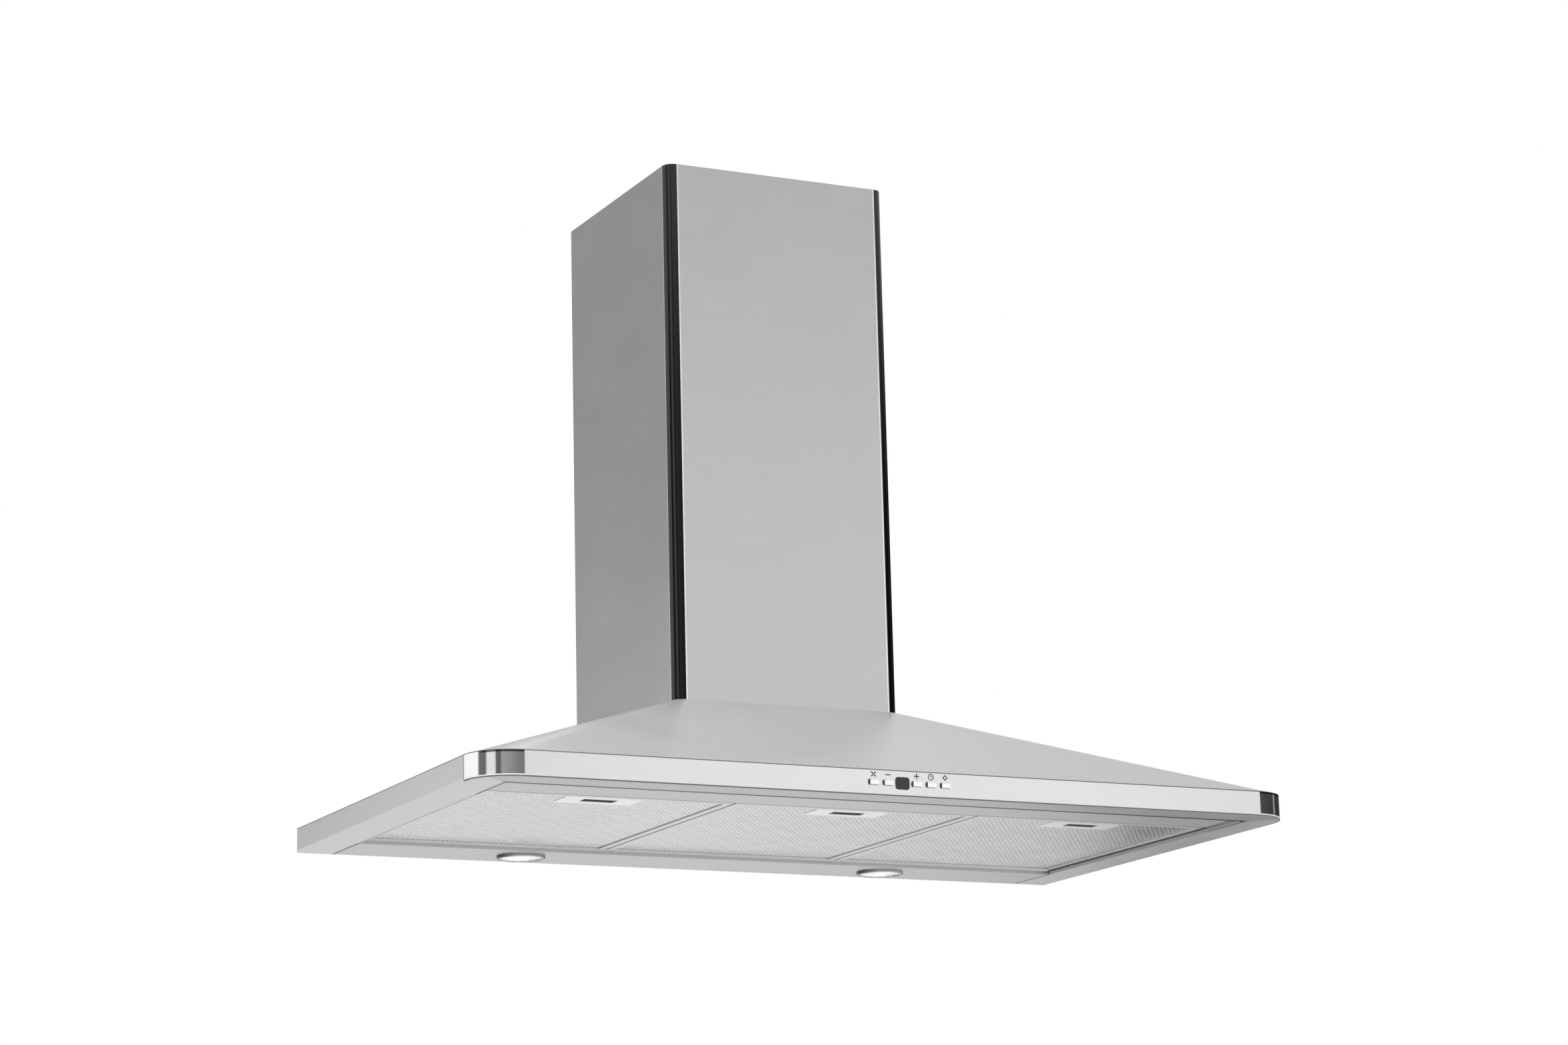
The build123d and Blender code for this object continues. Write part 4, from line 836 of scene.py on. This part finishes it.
# Painted shade on the buttons: their sides are dark, a grey line runs along the top and bottom, and
# the left end is dark, as shadow in the gap round each button.
tree, shader, plain = reopened(button_white)
share = place_parts(tree, "Generated")
on_rim = spread(tree, off_middle(tree, share["Z"]), BUTTON_RIM_SHADE, RISING)
rim = blended(tree, on_rim, plain, grey(0.34))
left_end_shade = spread(tree, share["X"], BUTTON_END_SHADE, FALLING)
connect(tree, shader, {"Base Color": blended(tree, left_end_shade, rim, grey(0.045))})
dress(button_white, "button_1", "button_2", "button_3", "button_4", "button_5")

housing_black = moulded_plastic(
    "housing_black", (0.035, 0.035, 0.037, 1.0), roughness=0.5, scale=700.0, relief=0.2
)
dress(housing_black, "control_housing")

DISPLAY_COLOUR = (0.014, 0.0145, 0.016, 1.0)
display_glass, tree, shader = new_material("display_glass")
grain = use_group(tree, MOULDED_GRAIN, Scale=1200.0, Roughness=0.16)
connect(tree, shader, {
    "Base Color": tinted(tree, DISPLAY_COLOUR, grain["Tone"]),
    "Roughness": grain["Roughness"],
    "Coat Weight": 0.1,
})
add_bump(tree, shader, grain["Height"], strength=0.02, distance=0.0001)
dress(display_glass, "display_window")

BOARD_COLOUR, TRACK_COLOUR = (0.02, 0.13, 0.05, 1.0), (0.05, 0.24, 0.09, 1.0)
BOARD_ROUGHNESS, TRACK_ROUGHNESS, TRACK_EDGE = 0.42, 0.3, (0.32, 0.36)
board_green, tree, shader = new_material("board_green")
cells = {"Vector": surface_place(tree), "Scale": 260.0}
pattern = add_node(tree, "ShaderNodeTexVoronoi", cells, distance="MANHATTAN").outputs["Distance"]
tracks = spread(tree, pattern, TRACK_EDGE, RISING)
connect(tree, shader, {
    "Base Color": blended(tree, tracks, BOARD_COLOUR, TRACK_COLOUR),
    "Roughness": spread(tree, tracks, RISING, (BOARD_ROUGHNESS, TRACK_ROUGHNESS)),
})
add_bump(tree, shader, tracks, strength=0.2, distance=0.0001)
dress(board_green, "control_board")

sign_ink = moulded_plastic(
    "sign_ink", (0.03, 0.03, 0.032, 1.0), roughness=0.5, scale=1800.0, relief=0.1
)
SIGN_HEIGHT = 0.0208
SIGN_THICKNESS = 0.00012
STROKE, THIN_STROKE, RING_STROKE, LAMP_STROKE = 0.0010, 0.0007, 0.0008, 0.0009
ARM = 0.0029
HUB_RADIUS, CLOCK_RADIUS, LAMP_RADIUS = 0.0008, 0.0028, 0.0017
LONG_HAND, SHORT_HAND, HAND_START = 0.0018, 0.0014, 0.0001
RAY_START, RAY_END = 0.0021, 0.0031
BLADE_OUTLINE = [
    (0.0009, 0.0004), (0.0022, 0.0009), (0.0034, 0.0004),
    (0.0034, -0.0004), (0.0022, -0.0007), (0.0009, -0.0003),
]
BLADE_TURN = 42


def around(angle, radius):
    """A point at an angle, in degrees, and a distance from a sign's middle."""
    return Vector((cos(radians(angle)), sin(radians(angle)))) * radius


def bar(start, end, width):
    """Corners of a straight stroke between two points."""
    start, end = Vector(start), Vector(end)
    across = (end - start).normalized().orthogonal() * width / 2
    return [start + across, end + across, end - across, start - across]


def ring(radius, width, count=24):
    """Corners of the short strokes that make up a ring."""
    spots = [around(360 * k / count, 1.0) for k in range(count)]
    outer, inner = radius + width / 2, radius - width / 2
    return [
        [one * outer, two * outer, two * inner, one * inner]
        for one, two in zip(spots, spots[1:] + spots[:1])
    ]


def blade(turn):
    """Corners of one rounded fan blade."""
    turned = Matrix.Rotation(radians(turn), 2)
    return [turned @ Vector(spot) for spot in BLADE_OUTLINE]


def printed_sign(strokes, middle_x):
    """A sign of thin raised ink on the band's face."""
    shape = bmesh.new()
    for corners in strokes:
        front, back = [
            [shape.verts.new((middle_x + spot.x, y, SIGN_HEIGHT + spot.y)) for spot in corners]
            for y in (band_low.y - SIGN_THICKNESS, band_low.y)
        ]
        shape.faces.new(front)
        shape.faces.new(back[::-1])
        for k in range(len(corners)):
            shape.faces.new((front[k - 1], back[k - 1], back[k], front[k]))
    bmesh.ops.recalc_face_normals(shape, faces=shape.faces)
    return shape


hub = [around(30 * k, HUB_RADIUS) for k in range(12)]
flat_bar = bar((-ARM, 0), (ARM, 0), STROKE)
upper_bar = bar((0, STROKE / 2), (0, ARM), STROKE)
lower_bar = bar((0, -ARM), (0, -STROKE / 2), STROKE)
long_hand = bar((0, HAND_START), (0, LONG_HAND), THIN_STROKE)
short_hand = bar((0, 0), (SHORT_HAND, 0), THIN_STROKE)
rays = [bar(around(90 * k, RAY_START), around(90 * k, RAY_END), RING_STROKE) for k in range(4)]
signs = {
    "fan": [hub] + [blade(BLADE_TURN + 90 * k) for k in range(4)],
    "minus": [flat_bar],
    "plus": [flat_bar, upper_bar, lower_bar],
    "clock": ring(CLOCK_RADIUS, RING_STROKE) + [long_hand, short_hand],
    "lamp": ring(LAMP_RADIUS, LAMP_STROKE) + rays,
}
for number, (name, strokes) in enumerate(signs.items(), 1):
    low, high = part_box(f"button_{number}")
    shape = printed_sign(strokes, (low.x + high.x) / 2)
    new_piece(f"sign_{name}", shape, sign_ink, "hood")


# Chimney covers: two stainless sheets folded to a U, the upper one sliding inside the lower one.
# The lower one stands on the canopy's seat, and its bends carry a painted dark reflection. The
# upper one hangs on a bracket on the wall.
def chimney_marks(tree, shader, colour, rough):
    """The lower cover's bends, with a painted dark reflection on them."""
    colour, rough, _ = burnished_and_painted_bends(
        tree, colour, rough, "lower_chimney",
        radius=0.012, bend_level=0.055, bend_rough=0.14, strip_level=0.92,
    )
    return colour, rough


chimney_steel = brushed_steel("chimney_steel", level=0.615, roughness=0.3, marks=chimney_marks)
dress(chimney_steel, "lower_chimney")
dress(brushed_steel("upper_chimney_steel", level=0.60, roughness=0.3), "upper_chimney")


# Blower: a moulded impeller on a ground steel shaft, turned by a black enamelled motor that is
# bolted to its bracket inside the scroll's inlet, with a capacitor in a white can.
impeller_black = moulded_plastic(
    "impeller_black", (0.03, 0.03, 0.032, 1.0), roughness=0.45, scale=600.0, relief=0.15
)
ground_steel = plated_metal("ground_steel", grey(0.56), roughness=0.24, unevenness=0.06)
motor_enamel = moulded_plastic(
    "motor_enamel", (0.028, 0.028, 0.03, 1.0), roughness=0.36, scale=350.0, relief=0.3
)
capacitor_white = moulded_plastic(
    "capacitor_white", (0.72, 0.71, 0.68, 1.0), roughness=0.4, scale=1000.0, relief=0.1
)
dress(impeller_black, "impeller")
dress(ground_steel, "motor_shaft", "flap_rod")
dress(motor_enamel, "motor_body")
dress(capacitor_white, "capacitor")


# Outlet: a moulded adaptor on the scroll's outlet with a round collar for the duct, and two
# half-round flaps on a rod that fall shut when the fan stops.
outlet_black = moulded_plastic(
    "outlet_black", (0.045, 0.045, 0.047, 1.0), roughness=0.52, scale=500.0, relief=0.2
)
flap_black = moulded_plastic(
    "flap_black", (0.06, 0.06, 0.062, 1.0), roughness=0.46, scale=800.0, relief=0.15
)
dress(outlet_black, "outlet_adaptor")
dress(flap_black, "flap_front", "flap_rear")


# Wiring: a black moulded terminal box with its cover and cable gland, and the sheathed leads
# that run to the lamps and the controls inside the canopy.
terminal_black = moulded_plastic(
    "terminal_black", (0.05, 0.05, 0.052, 1.0), roughness=0.5, scale=700.0, relief=0.2
)
gland_black = moulded_plastic(
    "gland_black", (0.03, 0.03, 0.031, 1.0), roughness=0.42, scale=900.0, relief=0.15
)
lead_sheath = moulded_plastic(
    "lead_sheath", (0.22, 0.22, 0.22, 1.0), roughness=0.48, scale=1200.0, relief=0.12
)
dress(terminal_black, "terminal_box", "terminal_cover")
dress(gland_black, "cable_gland")
dress(lead_sheath, "lamp_lead_left", "lamp_lead_right", "control_lead")


# Screws: pan-head steel screws, zinc plated.
# They hold the lamp panel, the brackets, the motor and the upper chimney.
screw_zinc = plated_metal("screw_zinc", (0.62, 0.63, 0.62, 1.0), roughness=0.3, unevenness=0.1)
dress(screw_zinc, "lamp_panel_screws", "bracket_screws", "motor_screws", "chimney_screws")


# Studio: a pale floor well under the hood that is clear from below, a white surround that is a
# little greyer overhead, two soft lamps, and dark and grey cards round the hood that only its
# shine shows.
FLOOR_Z = -1.5
FLOOR_REACH = 40.0
FLOOR_COLOUR = (0.91, 0.91, 0.91, 1.0)
floor_paint, tree, shader = new_material("floor_paint")
mottle = noise(tree, surface_place(tree), (1.5, 1.5, 1.5), detail=4.0)
connect(tree, shader, {
    "Base Color": tinted(tree, FLOOR_COLOUR, spread(tree, mottle, NOISE_SPAN, (0.985, 1.015))),
    "Roughness": spread(tree, mottle, NOISE_SPAN, (0.7, 0.85)),
})
below = add_node(tree, "ShaderNodeNewGeometry").outputs["Backfacing"]
clear = add_node(tree, "ShaderNodeBsdfTransparent").outputs[0]
one_sided = add_node(tree, "ShaderNodeMixShader", {0: below, 1: shader.outputs[0], 2: clear})
connect(tree, tree.nodes["Material Output"], {"Surface": one_sided.outputs[0]})


def flat_panel(name, corners, material):
    """A flat panel between its corners, which isn't part of the hood."""
    mesh = bpy.data.meshes.new(name)
    mesh.from_pydata(corners, [], [range(len(corners))])
    mesh.materials.append(material)
    panel = bpy.data.objects.new(name, mesh)
    bpy.context.scene.collection.objects.link(panel)
    panel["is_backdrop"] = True
    return panel


floor_corners = [
    (x * FLOOR_REACH, y * FLOOR_REACH, FLOOR_Z) for x, y in ((-1, -1), (1, -1), (1, 1), (-1, 1))
]
flat_panel("floor", floor_corners, floor_paint)


def studio_card(name, corners, level, far_level=None):
    """A matt card that only the hood's shine shows.

    It shades towards its greater x where far_level is given."""
    material, tree, shader = new_material(name)
    felt = noise(tree, surface_place(tree), (9.0, 9.0, 9.0), detail=3.0)
    colour = grey(level)
    if far_level:
        across = place_parts(tree, "Generated")["X"]
        colour = blended(tree, across, grey(level), grey(far_level))
    connect(tree, shader, {
        "Base Color": tinted(tree, colour, spread(tree, felt, NOISE_SPAN, (0.95, 1.05))),
        "Roughness": spread(tree, felt, NOISE_SPAN, (0.9, 1.0)),
        "Specular IOR Level": 0.0,
    })
    card = flat_panel(name, corners, material)
    card.visible_camera = False
    card.visible_diffuse = False
    card.visible_shadow = False


CARD_LOW, CARD_HIGH = -0.35, 2.9
CARD_TOP = 4.0


def upright(start, end, low=CARD_LOW, high=CARD_HIGH):
    """Corners of an upright card over a line on the floor."""
    return [(*start, low), (*end, low), (*end, high), (*start, high)]


LEFT_REAR, LEFT_MIDDLE, LEFT_FRONT = (-6.36, 0.39), (-6.23, -2.05), (-5.09, -4.28)
FRONT_LEFT, FRONT_WIDE = (-4.04, -5.29), (-4.93, -5.86)
FRONT_MIDDLE, FRONT_RIGHT = (-0.59, -7.5), (1.85, -7.12)
studio_card("card_left", upright(LEFT_REAR, LEFT_MIDDLE), level=0.13)
studio_card("card_left_pale", upright(LEFT_MIDDLE, LEFT_FRONT), level=0.84)
studio_card("card_front_left", upright(LEFT_FRONT, FRONT_LEFT), level=0.09)
studio_card("card_front_wide", upright(FRONT_WIDE, FRONT_MIDDLE), level=0.36, far_level=0.22)
studio_card("card_front", upright(FRONT_MIDDLE, FRONT_RIGHT), level=0.22, far_level=0.14)

high_card = upright((0.9, -3.5), (2.6, -3.5), low=1.7, high=CARD_TOP)
studio_card("card_front_high", high_card, level=0.45)

studio_card("card_right", upright((5.35, -6.80), (8.40, -1.06)), level=0.03)
studio_card("card_right_rear", upright((8.41, -0.78), (6.55, 4.64)), level=0.03)

REAR_LEFT, REAR_MIDDLE, REAR_RIGHT = (-2.3, 2.6), (-1.55, 2.82), (-0.55, 3.1)
rear_card = upright(REAR_MIDDLE, REAR_RIGHT, low=0.22, high=CARD_TOP)
high_rear_card = upright(REAR_LEFT, REAR_MIDDLE, low=0.70, high=CARD_TOP)
studio_card("card_rear_left", rear_card, level=0.34)
studio_card("card_rear_left_high", high_rear_card, level=0.34)

HOOD_MIDDLE_Y = -0.25
FAR, NEARER = 9, 3.5
FAR_TOP = 0.3
PALE_FROM, PALE_TO, DARK_FROM, DARK_TO = 23, 30, 33.5, 46
CARD_OVER_FLOOR = 0.05


def towards(angle, distance):
    """A place on the plan, at an angle to the right of straight behind the hood's middle."""
    turn = radians(angle)
    return (distance * sin(turn), distance * cos(turn) + HOOD_MIDDLE_Y)


def far_card(name, start, end, level, far_level):
    """A card far behind the hood, between two angles, from the floor up."""
    corners = upright(towards(start, FAR), towards(end, FAR), FLOOR_Z, FAR_TOP)
    studio_card(name, corners, level, far_level)


far_card("card_far", PALE_FROM, PALE_TO, level=0.94, far_level=0.62)
far_card("card_far_shaded", PALE_TO, DARK_FROM, level=0.62, far_level=0.55)
far_card("card_far_right", DARK_FROM, DARK_TO, level=0.12, far_level=0.06)
floor_card = [
    (*towards(angle, distance), FLOOR_Z + CARD_OVER_FLOOR)
    for angle, distance in (
        (DARK_FROM, NEARER), (DARK_FROM, FAR), (DARK_TO, FAR), (DARK_TO, NEARER)
    )
]
studio_card("card_floor", floor_card, level=0.3, far_level=0.1)


def soft_lamp(name, place, aim, size, power, mirrored):
    """A large square soft lamp turned towards a point."""
    light = bpy.data.lights.new(name, "AREA")
    light.shape = "RECTANGLE"
    light.size, light.size_y, light.energy = size, size, power
    lamp = bpy.data.objects.new(name, light)
    lamp.location = place
    lamp.rotation_euler = (Vector(aim) - Vector(place)).to_track_quat("-Z", "Y").to_euler()
    lamp.visible_camera = False
    lamp.visible_glossy = mirrored
    bpy.context.scene.collection.objects.link(lamp)


OVERHEAD_PLACE, OVERHEAD_AIM = (0.3, -0.9, 3.6), (0.0, -0.3, 0.0)
KEY_PLACE, KEY_AIM = (-2.4, -3.4, 2.2), (0.0, -0.3, 0.2)
soft_lamp("lamp_overhead", OVERHEAD_PLACE, OVERHEAD_AIM, size=3.0, power=45.0, mirrored=True)
soft_lamp("lamp_key", KEY_PLACE, KEY_AIM, size=1.6, power=22.0, mirrored=False)

SURROUND, SURROUND_OVERHEAD = (1.0, 1.0, 1.0, 1.0), (0.72, 0.72, 0.72, 1.0)
SKYWARD = (0.40, 1.0)
world = bpy.data.worlds.new("studio")
world.use_nodes = True
tree = world.node_tree
overhead = spread(tree, place_parts(tree, "Generated")["Z"], SKYWARD, RISING)
surround = blended(tree, overhead, SURROUND, SURROUND_OVERHEAD)
connect(tree, tree.nodes["Background"], {"Color": surround, "Strength": 1.0})
bpy.context.scene.world = world

CAMERA_PLACE = (-1.7487, -3.8065, -0.5902)
CAMERA_YAW, CAMERA_PITCH, CAMERA_ROLL = radians(26.248), radians(13.162), radians(-1.419)
SENSOR_WIDTH = 36.0
PHOTO_WIDTH, FOCAL_PIXELS = 2352.0, 5752.0
heading = Vector((sin(CAMERA_YAW), cos(CAMERA_YAW), 0.0))
ahead = heading * cos(CAMERA_PITCH) + Vector((0.0, 0.0, sin(CAMERA_PITCH)))
right = Vector((cos(CAMERA_YAW), -sin(CAMERA_YAW), 0.0))
up = right.cross(ahead)
turned_right = right * cos(CAMERA_ROLL) + up * sin(CAMERA_ROLL)
turned_up = up * cos(CAMERA_ROLL) - right * sin(CAMERA_ROLL)
turn = Matrix((turned_right, turned_up, -ahead)).transposed().to_4x4()
camera_data = bpy.data.cameras.new("camera")
camera_data.sensor_fit = "HORIZONTAL"
camera_data.sensor_width = SENSOR_WIDTH
camera_data.lens = SENSOR_WIDTH * FOCAL_PIXELS / PHOTO_WIDTH
camera_data.clip_end = 200.0
camera = bpy.data.objects.new("camera", camera_data)
camera.matrix_world = Matrix.Translation(CAMERA_PLACE) @ turn
bpy.context.scene.collection.objects.link(camera)
bpy.context.scene.camera = camera
bpy.context.scene.view_settings.view_transform = "Standard"

low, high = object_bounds()
